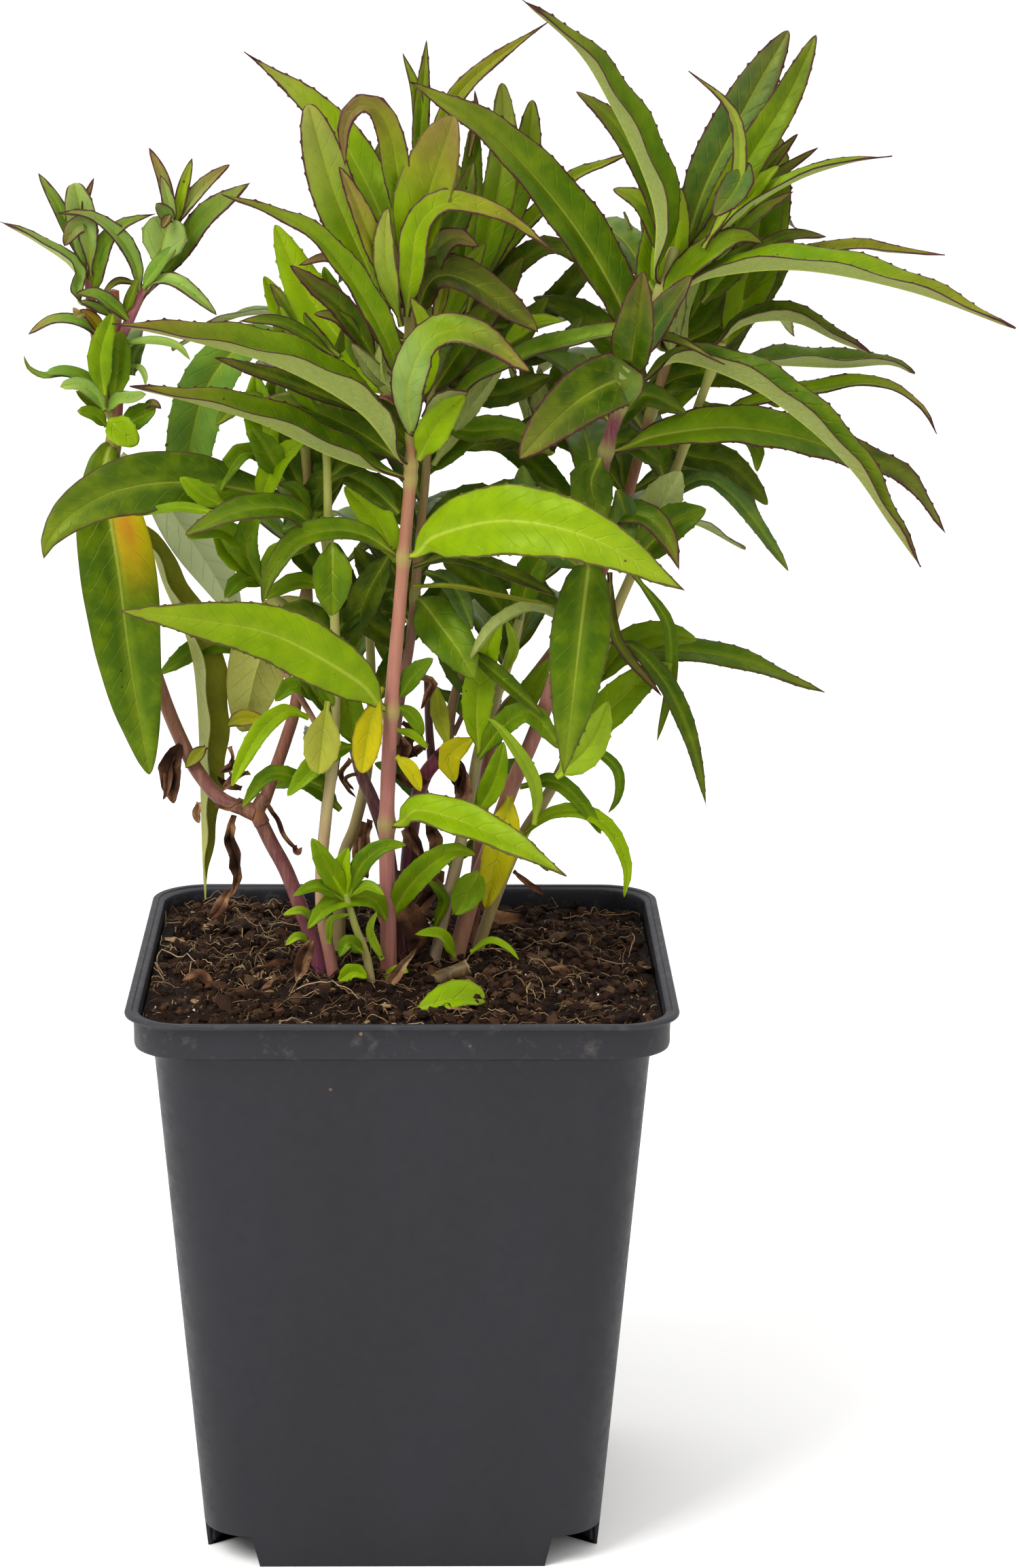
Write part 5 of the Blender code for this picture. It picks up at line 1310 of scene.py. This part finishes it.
# %% Small leaves, by shoot
# A row with a name starts a shoot. Each other row: its points from base to tip (across, up); its width, how
# far back its base and tip lie, its roll, its tones, and then its flush and other settings of a leaf.
SMALL_LEAVES = """
left_tip_leaves
-63.8 262, -66.4 268.5, -69 274, -72.7 280.3: 3.4, 0 3, 62, mid moss, 0.5
-63.2 257, -63.4 264, -64.3 272, -65.6 278.4: 6.8, 0 1, 84, moss sage, 0.4, tip 0.35, broad 0.64
-63.8 270, -63.3 275, -61.7 279.4: 1.7, 0 1, 80, purple, 0.6
-62.6 260, -62.9 267, -63.6 270.2, -65.6 269.4, -67.8 265.9: 4.6, -1 -5, 66, mid sage teal, 0.8, tip 0.6,
  broad 0.6
-62.2 256.5, -61.2 262, -59.2 267, -56 270, -49.5 272.4: 4.6, 0 -3, 52, mid moss, 0.5, broad 0.36, tip 1
left_second_leaves
-52.8 256.2, -53.6 262, -56.3 267, -60 270.4, -64 272.2, -69 272.4: 3.8, 0 -6, 48, moss sage, 0.6, tip 0.9
-52.4 255.6, -49.9 258.6, -46.4 258.9, -43 257, -37.6 252.2: 3.8, 0 -8, 42, sage moss, 0.5
-49.8 258.5, -48.6 264.5, -46.7 271.8: 9.8, -1 -2, 84, sage, 0.2, tip 0.32, broad 0.74
-46 271, -47.6 272.6, -49.4 274.4: 3.4, -3 -5, 80, moss teal, 0.6, tip 0.5
-46.6 272, -47.4 271, -48.3 269.5: 2, -4 -5, 80, purple, 0.6, tip 0.5
-45.6 270, -42.8 274.6, -39 278.6, -34.7 282.2: 3.5, 0 3, 52, sage mauve, 0.7
-45.4 270, -44 277, -42.1 283.4: 2.8, 0 1, 70, fresh, 0.6
-46 270, -47.8 279, -50.6 285.4: 3, 0 2, 70, moss mauve, 0.8
-46 270, -47.2 276, -48.4 280: 3, -1 -2, 70, sage, 0.7
-52.2 257.5, -48.4 263, -45 266.2: 3.4, -1 -3, 60, moss, 0.2
left_node_leaves
-55.4 251.2, -58.2 253.8, -61.5 256.1, -65.6 256.4: 3.6, -3 -5, 52, mid moss, 0.4
-58.5 252, -61.6 253.6, -64.9 254.9: 2.4, -2 -3, 55, moss, 0.5
-54 258.6, -57.3 258.8, -60.2 256.6: 1.8, 1 -1, 60, dark, 0.5
-56 252, -54.6 256, -53.2 259.6: 2.4, 0 -2, 66, mid, 0.2
-60.6 248.6, -62.6 251.4, -64.9 253.2: 3, 0 -3, 60, gold rust, 0.6
-64.2 252.4, -65.3 252.2, -66.3 253.6: 1.8, -3 -4, 60, tan
-60.5 247, -63.4 249.7, -67 251, -71 250.8, -75.3 248.2: 3, 0 -4, 46, moss moss mauve, 0.5
-60.3 236, -61 244, -58.5 252.4: 5.4, -3 -5, 78, bright, 0.05, tip 0.5
-58.6 235, -57.4 242, -56.8 248.9: 5.8, -1 -2, 80, mid, 0.05, tip 0.45
-54.6 240, -54 244, -51.9 247: 3.4, 1 1, 70, teal
-62 238, -68 240.2, -72.5 239.8, -75.4 241.4, -76.3 243.8: 1.7, 0 -3, 55, moss, 0.2
-60.5 237, -64.5 239.6, -68.3 240.8, -72 240.4: 2.8, -1 -3, 55, mid moss, 0.1, tip 0.35
-60.3 233, -62 236, -65.4 238, -69.2 237.6: 3.4, -2 -5, 62, moss sage, 0.1, tip 0.35
-60.4 232.4, -63 234.4, -66 236.8: 2.6, -1 -2, 60, mid, 0.1
-56 246.6, -50 246.9, -45.6 245.9, -43 243.2: 2.2, -1 -4, 50, moss sage, 0.1
-54.6 242, -53 241.4, -52.1 239.8, -52 238: 1.5, 0 -3, 55, sage, 0.1
-59.7 232.8, -57.6 235.2, -54.6 235.4, -51.9 236.2: 3, -1 -3, 60, moss sage, 0.1, tip 0.4
-59.4 231, -57 228.6, -53.8 226: 6.4, -2 -6, 74, fresh, tip 0.45
-56.8 229.4, -53.6 231.4, -50 233.4: 5.4, 0 -2, 66, mid, tip 0.42
-52.4 233.4, -50.6 234.2, -48.9 233.3: 2, -1 -3, 55, dark purple, 0.4
-60 229.8, -62.4 231.9, -65.8 232.8: 3.4, -1 -4, 60, bright, 0.1, tip 0.45
front_tip_leaves
0.5 222, -10 229, -20 233.5, -29.5 234.8: 8, -11 -6, 56, dark, 0.4
-6 232, -23 238.4, -38 243.5: 4.5, -10 -20, 50, deep, 0.4
3 223, 5.6 228.4, 8.8 233, 12.4 236.2: 7, -14 -20, 84, fresh, 0.1
4 231.6, 8 235.2, 13 236.8: 3.6, -15 -20, -60, sage, 0.5
-13 244, -20 249.6, -26.8 258.5: 4.5, -8 -2, 60, mid, 0.5
-5 242, -12 253, -18 258, -22.8 262.2: 5.5, -13 -16, 60, dark, 0.9
-8 246, -13 251.5, -18 252.5: 3.6, -13 -17, 60, mid, 0.8
-7 256, -14 263.2, -21 262.3: 3, -10 -14, 50, purple, 0.6
-14 244, -24 250.4, -33 251: 3.4, -8 -12, 50, mid, 0.4
0 236, -5.5 240, -10.5 246.5: 4.4, -15 -18, -70, mid, 0.3
0 234, -3.8 239, -4.6 247: 4.6, -15 -17, -75, fresh, 0.3
2 234, 4.6 240, 4.6 249, 1.4 256: 5.2, -15 -18, 75, fresh, 0.4
0.5 268, -1 279, -2.3 287, -4.4 292, -7.2 294, -10 293, -11.8 289, -11.7 282: 6, -12 -20, 66,
  bright bright olive purple purple, 0.6, broad 0.4, tip 0.8, turn 10
0 254, -6 266, -10.6 277, -12.9 281.8: 5.4, -14 -18, 76, bright olive mauve, 0.5, turn -20
-0.5 250, -3.4 262, -3.6 270, -3.1 273.9: 5.2, -16 -18, 80, bright pale, 0.4, turn 15, broad 0.55
0.6 252, 1.6 262, 2.4 268.5, 5 272.8, 9 274.9, 15 274, 22 271, 31 264.5: 6.2, -15 -26, 58,
  bright fresh olive olive, 0.5, broad 0.35, tip 1
3 276, 3.4 290, 4.5 306.8: 3.8, 6 8, 78, dark bright, 0.5, tip 0.8
3.2 284, 2.6 296, -0.2 304.2: 2.8, 7 8, 74, mid bright, 0.4, tip 0.8
4.4 284, 10.5 295.6, 17.4 302.4, 28.6 310.5: 4, 2 6, 58, bright olive olive, 0.5, tip 1.1, broad 0.4
3.5 256, 6 264, 10 267.6, 15 266.2: 6, -8 -12, 62, teal teal mauve, 0.5
6 250, 8 258, 8.6 263.8: 3, -10 -11, 78, olive, 0.8
4 262, 10.4 271, 13.9 283: 6, -4 0, 70, dark, 0.4
-1 258, -3.6 268, -4.6 280, -4 288: 7, 0 4, 76, mid bright, 0.3
2 250, 6 259.5, 14 258.5, 27 249: 8.6, -10 -14, 50, night night dark, 0.5
5.4 236, 14 249, 20.5 257: 8, 4 8, 62, dark, 0.4
6 222, 13 233, 20.5 243.5: 5, 3 -2, -70, mid, 0.1
19.6 246, 26 250.6, 32.2 251.3: 4, 2 -2, 50, fresh, 0.2
6 246, 16 252, 24 264: 7, 6 12, 66, dark, 0.3
8 240, 19 244, 29 256: 7, 8 14, 66, mid, 0.2
middle_top_leaves
11 252, 19.8 265, 26.7 272.8, 33.5 279.7, 40.4 282.8, 45 284.8: 4, 14 18, 50, fresh, 0.6
12 250, 17 270, 19.6 284, 19.4 298.5: 7.6, 6 10, 78, mid bright pale, 0.3, tip 0.5, broad 0.55, turn -15
10 248, 12.6 268, 14.2 292: 5.6, 8 12, 78, mid, 0.2, tip 0.6, broad 0.55
13 284, 14.4 292, 14.1 297: 1.6, 10 11, 76, purple, 0.5
12 250, 19 268, 24 282, 25.6 295.2: 7, 12 16, 78, mid bright, 0.5, tip 0.5, broad 0.6
6.2 247, 11 258, 16.4 267: 6, 5 4, 70, bright, 0.3
11 252, 22 262, 30 266, 37 262: 6, 18 12, 55, dark, 0.3
12 250, 27 252, 38 263, 48 265: 6, 20 24, 60, dark, 0.3
10 248, 21 244, 31 246, 36 252: 6, 16 12, 60, teal, 0.2
7 240, 18 236, 30 240: 7, 8 4, 60, dark, 0.2
5.4 234, 12 229, 22 229, 30 224: 6, 4 -2, 55, mid, 0.2
11 252, 13 262, 12 276, 9 284: 7, 22 26, 76, mid, 0.4
10 250, 4 262, -6 270, -14 272: 7, 22 26, 60, dark, 0.3
right_tip_leaves
51 268, 49.6 277, 45.4 285.4, 40.7 291.6, 34.2 296.9: 5.6, -8 -4, 58, mid, 0.6
51.5 264, 50.4 270.5, 47.4 275, 41.8 277.7: 5.6, -7 -3, 62, mid bright, 0.6
60 266, 65.6 276, 66.9 286, 64.6 294, 56.5 301: 3.2, -13 -19, 60, lime pale, 0.6, tip 1
55 256, 60.5 269, 69 284, 76.2 296, 81.7 308.2: 7.6, -7 -3, 74, fresh bright mid, 0.4, tip 0.6, broad 0.55
66 284, 67.4 281, 66 277.4, 62 272.4: 6.4, -14 -20, 62, teal, 0.5, tip 0.5
66 271, 71 278.6, 74.8 282.4: 3.6, -10 -12, 66, fresh, 0.2
64 250, 70 264, 73 286: 9.5, 10 8, 78, dark mid, 0.2, broad 0.6
60 255, 66 262, 72 268: 6, -6 -3, 66, mid, 0.3
60 266, 70 279, 78.5 288.7: 4, -4 0, 60, mid, 0.8
60 266, 72 278.5, 82.6 286: 3.2, -2 2, 55, mid, 0.8
57 262, 67 272.4, 78.3 279.6, 89.3 283.3, 97.5 284.4: 5.4, -10 -14, 18, fresh bright, 0.5, fold 42,
  tip 1.1, broad 0.4
60 262, 70 272, 77.8 277.3: 3.4, -6 -4, 50, mid, 0.8
68 262, 88.5 266, 97.7 265.4, 108.6 264.8: 4.4, -4 -2, 30, olive, 0.6, fold 34, tip 1
66 262, 76 268, 84.6 268.4: 3.4, -6 -4, 50, dark, 0.5
45.5 241, 50 249, 57.8 260.5: 7, -12 -18, 66, teal, 0.7, turn 20
53 254, 55 262, 58 272, 60 280: 7, -6 -2, 72, bright, 0.3
52 250, 49.6 260, 50 268, 51 276: 6.5, -5 -1, 76, bright, 0.4
53 252, 53.6 262, 54.6 270, 55.4 278: 7, -9 -8, 78, fresh, 0.5
51 255, 57 262, 66 268, 72 267: 6, -10 -14, 55, bright, 0.5
right_middle_leaves
62 246, 68 250.5, 74 251.7, 80 251, 87 247.7, 94.3 245: 7.4, 4 0, 15, dark, 0.5, fold 52, tip 0.9
60 235, 68 230.5, 71.4 225.5, 71.7 220.8: 4.6, 4 2, 55, mid, 0.1
50.6 213, 60 219, 66 216.4, 72 209.5, 78.5 200.3: 4.2, 4 1, 50, teal, 0.1
46.5 202, 51 211, 56 221: 10, 0 -6, -76, teal
47 202, 54 209.5, 61.5 213: 9, -3 -8, 68, dark
39.8 223.5, 38 218, 40.5 210.5: 9.5, -12 -18, 74, dark, 0.1
43.5 217, 45.2 211, 44.2 205: 6, -11 -15, 70, teal
41.5 228, 48 236, 57 232.5: 6, -6 -2, 60, dark, 0.2
40.5 226, 46 226.5, 52 222: 6, -4 -1, 60, dark, 0.1
42 200, 42.6 190, 45 183.5, 53 174.2: 2.6, 0 -4, 55, dark, 0.9
47 199.5, 53.5 190.5, 54.8 184, 54.7 176, 52.2 164.8: 3, 2 0, 62, mid, 0.1
35 163.5, 43 172, 49 177.4, 55 181: 8.6, 4 0, 66, bright, 0.1
39 176, 45 184, 52 187, 60 186: 7, 5 8, 62, bright, 0.1
36 165, 43 160, 44.6 156, 44 152, 42.3 149.5: 2.6, 4 2, 55, mid
46 233, 56 240, 68 240, 76 234: 8, 14 18, 60, dark, 0.2
48 228, 58 224, 66 222, 74 214: 7, 14 18, 60, deep, 0.1
54 246, 60 256, 64 268, 66 280: 9, 14 18, 74, mid, 0.2
54 246, 63 250, 72 258, 78 268: 8, 14 20, 68, dark, 0.2
49 232, 44 244, 36 252, 26 256: 8, 15 20, 62, dark, 0.2
45 216, 37 226, 28 229, 18 225: 8, 16 20, 62, dark, 0.2
45 216, 56 221, 66 218, 74 206: 6, 17 22, 60, teal, 0.1
37 200, 30 206, 25 214, 24 222: 9, -6 -3, 72, teal, 0.1
38 206, 31 213, 21 216, 12 212: 7, -4 0, 62, dark, 0.1
centre_leaves
2 201, 10 203, 20 200, 31 195: 4.6, -6 -12, 42, deep, 0.2
2 197, 10 197, 20 195, 31 193: 1.3, -8 -14, 50, olive, 0.1
34 189.5, 26 192.5, 19 189, 13.5 182: 4, -8 -12, -52, mid, 0.1
-1 203, -8 207.4, -15 208.4, -22 206, -27 199.5, -28.8 193.5: 5.6, -12 -20, 52, mid, 0.2
-14.5 206, -14.5 199, -14.7 190.8: 8.6, -16 -20, 84, mid, 0.1
-16 197, -22 197.8, -28.5 194.3: 4, -12 -16, 60, bright, 0.1
-1.5 202, -5 210, -12 217.5: 7, -10 -8, 74, fresh, 0.1
-1 212, -7 217.4, -14.7 220.8: 6, -10 -6, 62, dark, 0.2
-2 205, -6.6 197, -10 190, -16 184.5: 7, -10 -6, 66, deep, 0.1
4.4 200, 10 197, 14 188: 5, -2 -8, 60, teal, 0.1
-0.5 174, 2 178.4, 6 182: 4.4, -12 -12, 62, mid, 0.1
15.5 161, 20 167.4, 26 170.4, 32 163: 5.6, -4 -10, 60, mid, 0.1
27 147, 27.5 153, 25.5 159, 20 167, 17 169.7: 3.2, -6 -10, 55, lime
31.5 157, 38 163.5, 42 173: 7.6, -6 -10, 76, lime
24.4 144.5, 30 149, 37 149.6, 43 145.5, 46.3 138, 45.8 131.5: 3.6, 3 -6, 56, fresh
24 155, 31 156, 36.6 151.5, 40.8 145: 4, 2 -2, 55, mid
15 149, 18.5 156, 20.6 164.5: 5.4, -5 -9, 70, bright
15.4 162, 15 172, 16.6 182, 20 190.5: 7, -4 -6, 76, fresh
20.5 179, 22.5 184.4, 21 190: 2.6, -2 -4, 70, lime
12.5 184.5, 20 177.7, 28.3 170.3: 4, -6 -10, 50, dark, 0.1
22 154, 20.7 145, 19 138, 17 129: 7.6, -4 -9, 78, gold, 0.1
14 165, 9.4 161.4, 10.5 156: 5.4, -5 -8, 66, gold
-1.5 161.4, 1.5 158.4, 3.5 154: 3.4, -15 -17, 66, gold
-1.5 172, 1.6 170, 4 166: 3.4, -10 -8, 66, bright
-1.5 167, 2 165.8, 5 163: 2, -10 -9, 60, fresh
6.5 176, 7.4 170, 9 164: 4, -3 -6, 60, olive
23 190, 26 200, 31 208: 7, 3 6, 70, mid, 0.1
23 188, 16 197, 8 202: 7, 3 6, 66, dark, 0.1
19 172, 12 178, 6 188: 6, 4 6, 66, teal, 0.1
17 165, 24 172, 30 182: 6, 1 3, 66, bright, 0.1
2 186, 8 195, 15 202: 7, 4 8, 66, deep, 0.1
2 190, -4 196, -10 205: 7, 4 8, 66, deep, 0.1
3 206, 9 212, 16 215, 24 212: 7, 3 8, 60, dark, 0.1
3 208, -4 216, -12 220: 7, 4 8, 62, dark, 0.1
4.5 220, 10 226, 18 232: 6.5, 4 6, 66, mid, 0.1
4.5 221, -2 230, -10 237: 7, 6 10, 66, dark, 0.2
5.4 234, 0 244, -8 252: 7, 6 10, 68, dark, 0.3
6 176, 14 170, 22 158: 5, 20 14, 50, teal
6 190, 14 196, 24 198, 34 190: 6, 24 24, 50, dark
9 225, 20 226, 30 218, 38 208: 7, 28 26, 50, dark
-16 196, -8 190, 0 184: 7, -4 2, 60, deep
left_middle_leaves
-20 249, -32 246.5, -40 237, -44 221, -45.4 205: 11.5, 4 14, 78, moss
-27 221, -29 232, -30 240.5: 7.2, -4 -1, 78, bright
-26.5 222, -32 224.4, -36 220, -37.5 216: 4.6, -6 -14, 56, mid
-29.5 213, -26 222, -19.5 227.5: 5.6, -8 -10, 66, fresh
-32.6 214, -34 218, -35 221.5: 2.6, -8 -9, 66, bright
-25 220, -28.6 226, -31 229: 6.4, -8 -14, 72, mid
-12.5 219.5, -16 217.5, -20 213.5: 7, -8 -5, 62, deep
-36.6 213.6, -40.6 215.6, -45.3 219.2: 4.8, -20 -21, 66, bright
-38 212, -46 213, -54.5 211.4: 2.6, -24 -23, 50, bright
-57 224, -51.5 219.5, -45.2 209.5, -39 200, -33.5 190: 10.6, 8 10, -82, ash, broad 0.52, fold 20, margin 0
-31 183, -40 184.6, -50 178.6: 5.2, 5 8, 58, mid
-38.5 209.5, -35 203, -28.5 198: 4.6, -7 -9, 66, bright
-29 197.5, -32 204, -31 210, -27 214: 5.4, -9 -11, 66, mid
-28.5 197.5, -33 198, -36.5 194.5: 4.2, -8 -13, 60, mid
-29 199, -24.5 204, -19 205: 5.2, -9 -12, 62, bright
-31 204, -37 208.4, -44 207: 5, -9 -14, 60, bright
-24.5 208.6, -20 209.6, -15.5 208: 4.4, -11 -14, 60, teal
-19 212, -22 216.6, -25.4 218: 4, -6 -9, 60, mid, 0.2
-18.8 211, -15.8 215, -13 218.6: 4.6, -5 -7, 64, mid, 0.2
-19.5 215, -24 224, -26 234, -25 243: 7, 0 4, 72, dark
-19.5 216, -14 226, -8 232: 6.6, 0 4, 68, dark
-20 226, -26 232, -33 234, -38 230: 6, -1 -4, 60, mid, 0.2
-20 226, -19 238, -23 250, -28 260: 8, 0 6, 76, fresh
-20 226, -15 238, -13 250, -16 262: 8, 0 6, 76, mid
-16 231, -22 242, -25 254: 7.5, -8 -5, 76, bright, 0.1
-15.8 230, -12 240, -12 250: 6.5, -8 -6, 76, mid, 0.2
-15.4 219, -8 224, 0 226: 6.5, -10 -4, 62, dark, 0.1
-36 168, -33.4 169.3, -28.6 169.4: 3.8, 0 -1, 72, olive gold, 0.3, tip 0.5
-19.5 169.5, -24 170.8, -29 167, -33 160.5, -35.4 155: 4.4, -12 -18, 60, fresh
-17 155, -22 156.8, -28 157.2, -33.3 150.6: 3.8, -12 -17, 56, mid
-9.5 163.5, -14 162.4, -19 158.6, -24 153: 5.2, -12 -17, 56, bright
-15.6 173, -16.6 165.6, -17.6 157.6: 8, -15 -19, 84, straw, tip 0.5, broad 0.6
-22 182.5, -19 176, -14.5 169: 3.6, -8 -12, 62, deep
-17.5 178, -16 175, -14.5 172: 3.4, -10 -12, 66, mid
-13 177.6, -11.6 171, -9 163.4: 7.4, -9 -10, 80, bright
-4.4 176, -7 167.6, -8.6 157.8: 6.4, -15 -18, 80, gold sun, 0.2, tip 0.5, broad 0.6
-17 173, -22 176.4, -26.4 173: 4.4, -8 -12, 60, mid
-40.6 163.4, -42.6 161.4, -44.9 158.9: 3.2, -3 -5, 60, olive, 0.4
-14 186, -20 191, -27 190: 6, -10 -6, 62, deep
-14 187, -8 194, -2 196: 6, -8 -4, 62, deep
-14.3 198, -20 203, -24 212: 6, -8 -5, 66, dark
-7 188, -12 196, -14 206: 7, 10 12, 66, deep
-7 189, 0 196, 5 204: 7, 10 12, 66, deep
-7 172, -2 180, 2 190: 6, 8 10, 66, dark
low_leaves
-12 131.5, -16 138, -19 144: 5, -20 -23, 66, bright
-11.5 131.5, -9 138, -4.6 142, 0.5 142.6: 4.4, -20 -22, 60, mid
-12.5 131, -18 133.6, -23 131.6: 3.2, -20 -24, 52, mid
-11 132, -7.4 133.8, -4 131.8: 2.6, -20 -24, 52, bright
-12 131.5, -13 137, -11.5 142: 4.4, -20 -21, 74, fresh
-3.3 126, -6 130.6, -11 131.4, -16 129.2, -20 124.6: 5.2, -13 -24, 56, bright
-15.5 121.5, -15 126.4, -11 127.8: 1.8, -18 -20, 50, lime
-8.5 119.5, -11.6 121.6, -13.4 118.6: 3.4, -20 -23, 60, mid
-4.5 118, -7 124, -5.5 128.5: 2, -15 -17, 60, lime
-18.5 126, -21.4 128.3, -25 127.6: 2.4, -10 -15, 46, lime
-19.6 121.6, -22 122.8, -24.6 121: 2.2, -10 -14, 50, lime
-13.4 113.4, -10.4 115.4, -7.6 114: 3.6, -18 -20, 60, fresh
-4 113, -1 115.6, 1 115.2: 3, -14 -16, 60, fresh
-2.8 126.5, 0.6 133, 5.4 138.2, 10.4 141.2, 14.8 140.6: 6, -12 -17, 62, bright
6.5 125, 8.3 131, 4.6 135.6: 2.6, -6 -8, 60, mid
15.8 137, 13.6 133, 10.6 127.6: 7, -8 -12, 76, bright
10.6 118.6, 7.6 123.2, 2.4 123.4: 3.2, -7 -14, 50, fresh
1.4 106.6, 7 108.4, 12 109.6, 17 109.4: 8, -36 -30, 34, fresh, 0.2, tip 0.4, broad 0.6
14 119.6, 18 122, 21.6 120.6, 24 118: 1.8, -6 -10, 46, fresh
9.4 138, 16 143, 24 143, 30 137: 4, 14 18, 50, mid
6 150, 0 157, -6 160: 5, 18 22, 60, teal
14 150, 20 158, 27 160: 5, 24 28, 60, mid
-13 150, -20 156, -28 155: 5, 22 26, 56, mid
"""
shoots = {}
for row in table(SMALL_LEAVES):
    if len(row) == 1:
        name, first_seed = row[0][0], 200 + 60 * len(shoots)
        shoots[name] = []
        continue
    points, (width, backs, roll, tone, *more) = row
    shape = drawn_leaf(numbers(points), *numbers([width, backs, roll]), tone,
                       seed=first_seed + len(shoots[name]), **settings(more, fold=24.0, flush=0.0))
    shoots[name].append(shape)
for name, shapes in shoots.items():
    piece(name, join(shapes), blade, sharp=60)
print("small leaves", sum(map(len, shoots.values())))

# %% [markdown]
# ## Skins for the stems
# Each stem's skin is a tube along the stem's line, a little thicker where leaves grow. The heights of the
# long leaves say where that is, so a node always sits where its leaf does.

# %% Stem pieces
node_heights = {name: [] for name in all_stems}
for stem, up in leaf_heights:
    node_heights[stem].append(up)
for stem, (up, _, _) in BACK_PAIRS.items():
    node_heights[stem].append(up)
# Bright light all round thins a colour, so the skin's red, green and blue are made deeper.
SKIN_DEPTH = np.array([0.80, 0.72, 0.60, 1.0])
NODE_REACH_MM, NODE_SWELL, RING_STEP_MM = 1.6, 0.3, 1.3


def stem_shape(name):
    """A stem's tube with a swelling of a third of its radius round each node, colours read along it."""
    knots, low, top, codes = all_stems[name]
    rows = max(12, round(length_of(place(knots)) / RING_STEP_MM))
    share = np.linspace(0, 1, rows)
    drawn = smooth_line(knots, share)
    line = place(drawn)
    swell = np.zeros(rows)
    for up in node_heights[name]:
        swell = np.maximum(swell, np.exp(-(((drawn[:, 1] - up) / NODE_REACH_MM) ** 2)))
    radii = (low + (top - low) * share) * (1 + NODE_SWELL * swell)
    values = {"own_colour": colour_mix(codes, share) * SKIN_DEPTH, "node_ring": swell}
    return tube(line, radii, 14, values=values)


for name in solid_stems:
    piece(name + "_skin", stem_shape(name), stem_skin, [name], sharp=60)
print("stem skins", len(solid_stems))

# %% [markdown]
# The stump of an old stem leans to the right at the front. It is a tube with knobbly sides, brown bark and
# a pale cut end, whose last rings lie almost in one plane. The thin side shoots have no solid of their own.

# %% Cut stump and side shoots
STUMP_RINGS, STUMP_SIDES = 40, 18
stump_line = smooth_line([(1.6, 108.2, -15), (6, 112.4, -15), (10.3, 115, -14.5), (14.6, 117, -14)],
                         np.linspace(0, 1, STUMP_RINGS))
stump_knob = 1 + 0.16 * np.sin(np.arange(STUMP_RINGS)[:, None] / 4.0 + np.arange(STUMP_SIDES) / 3.0)
stump_radii = np.full(STUMP_RINGS, 1.75)
stump_radii[-4:] = [1.8, 1.62, 1.1, 0.5]
stump_steps = place(stump_line)
stump_ahead = unit(stump_steps[-4] - stump_steps[-5])
stump_steps[-3:] = stump_steps[-4] + stump_ahead * np.array([[0.02], [0.03], [0.04]])
stump_codes = ["#33280f", "#443a16", "#54491d", "#3d2f12", "#4f421e", "#382b15"]
stump_colour = colour_mix(stump_codes, np.linspace(0, 1, STUMP_RINGS))
stump_colour[-4:] = [linear(code) for code in ("#8c7550", "#b9a080", "#6b5034", "#cdb796")]
stump_values = {"own_colour": stump_colour, "node_ring": np.zeros(STUMP_RINGS)}
stump = tube(stump_steps, stump_radii, STUMP_SIDES, bulge=stump_knob, values=stump_values)
piece("cut_stump_bark", stump, stem_skin, ["cut_stump"], sharp=60)
piece("side_shoots", join([stem_shape(name) for name in thin_stems]), stem_skin, sharp=60)
print("stump rings", STUMP_RINGS, "and side shoots", len(thin_stems))

# %% [markdown]
# ## Size
# The triangles of the finer pieces are counted.

# %% Finish
print("triangles", sum(made_triangles.values()), "in", len(made_triangles), "pieces")
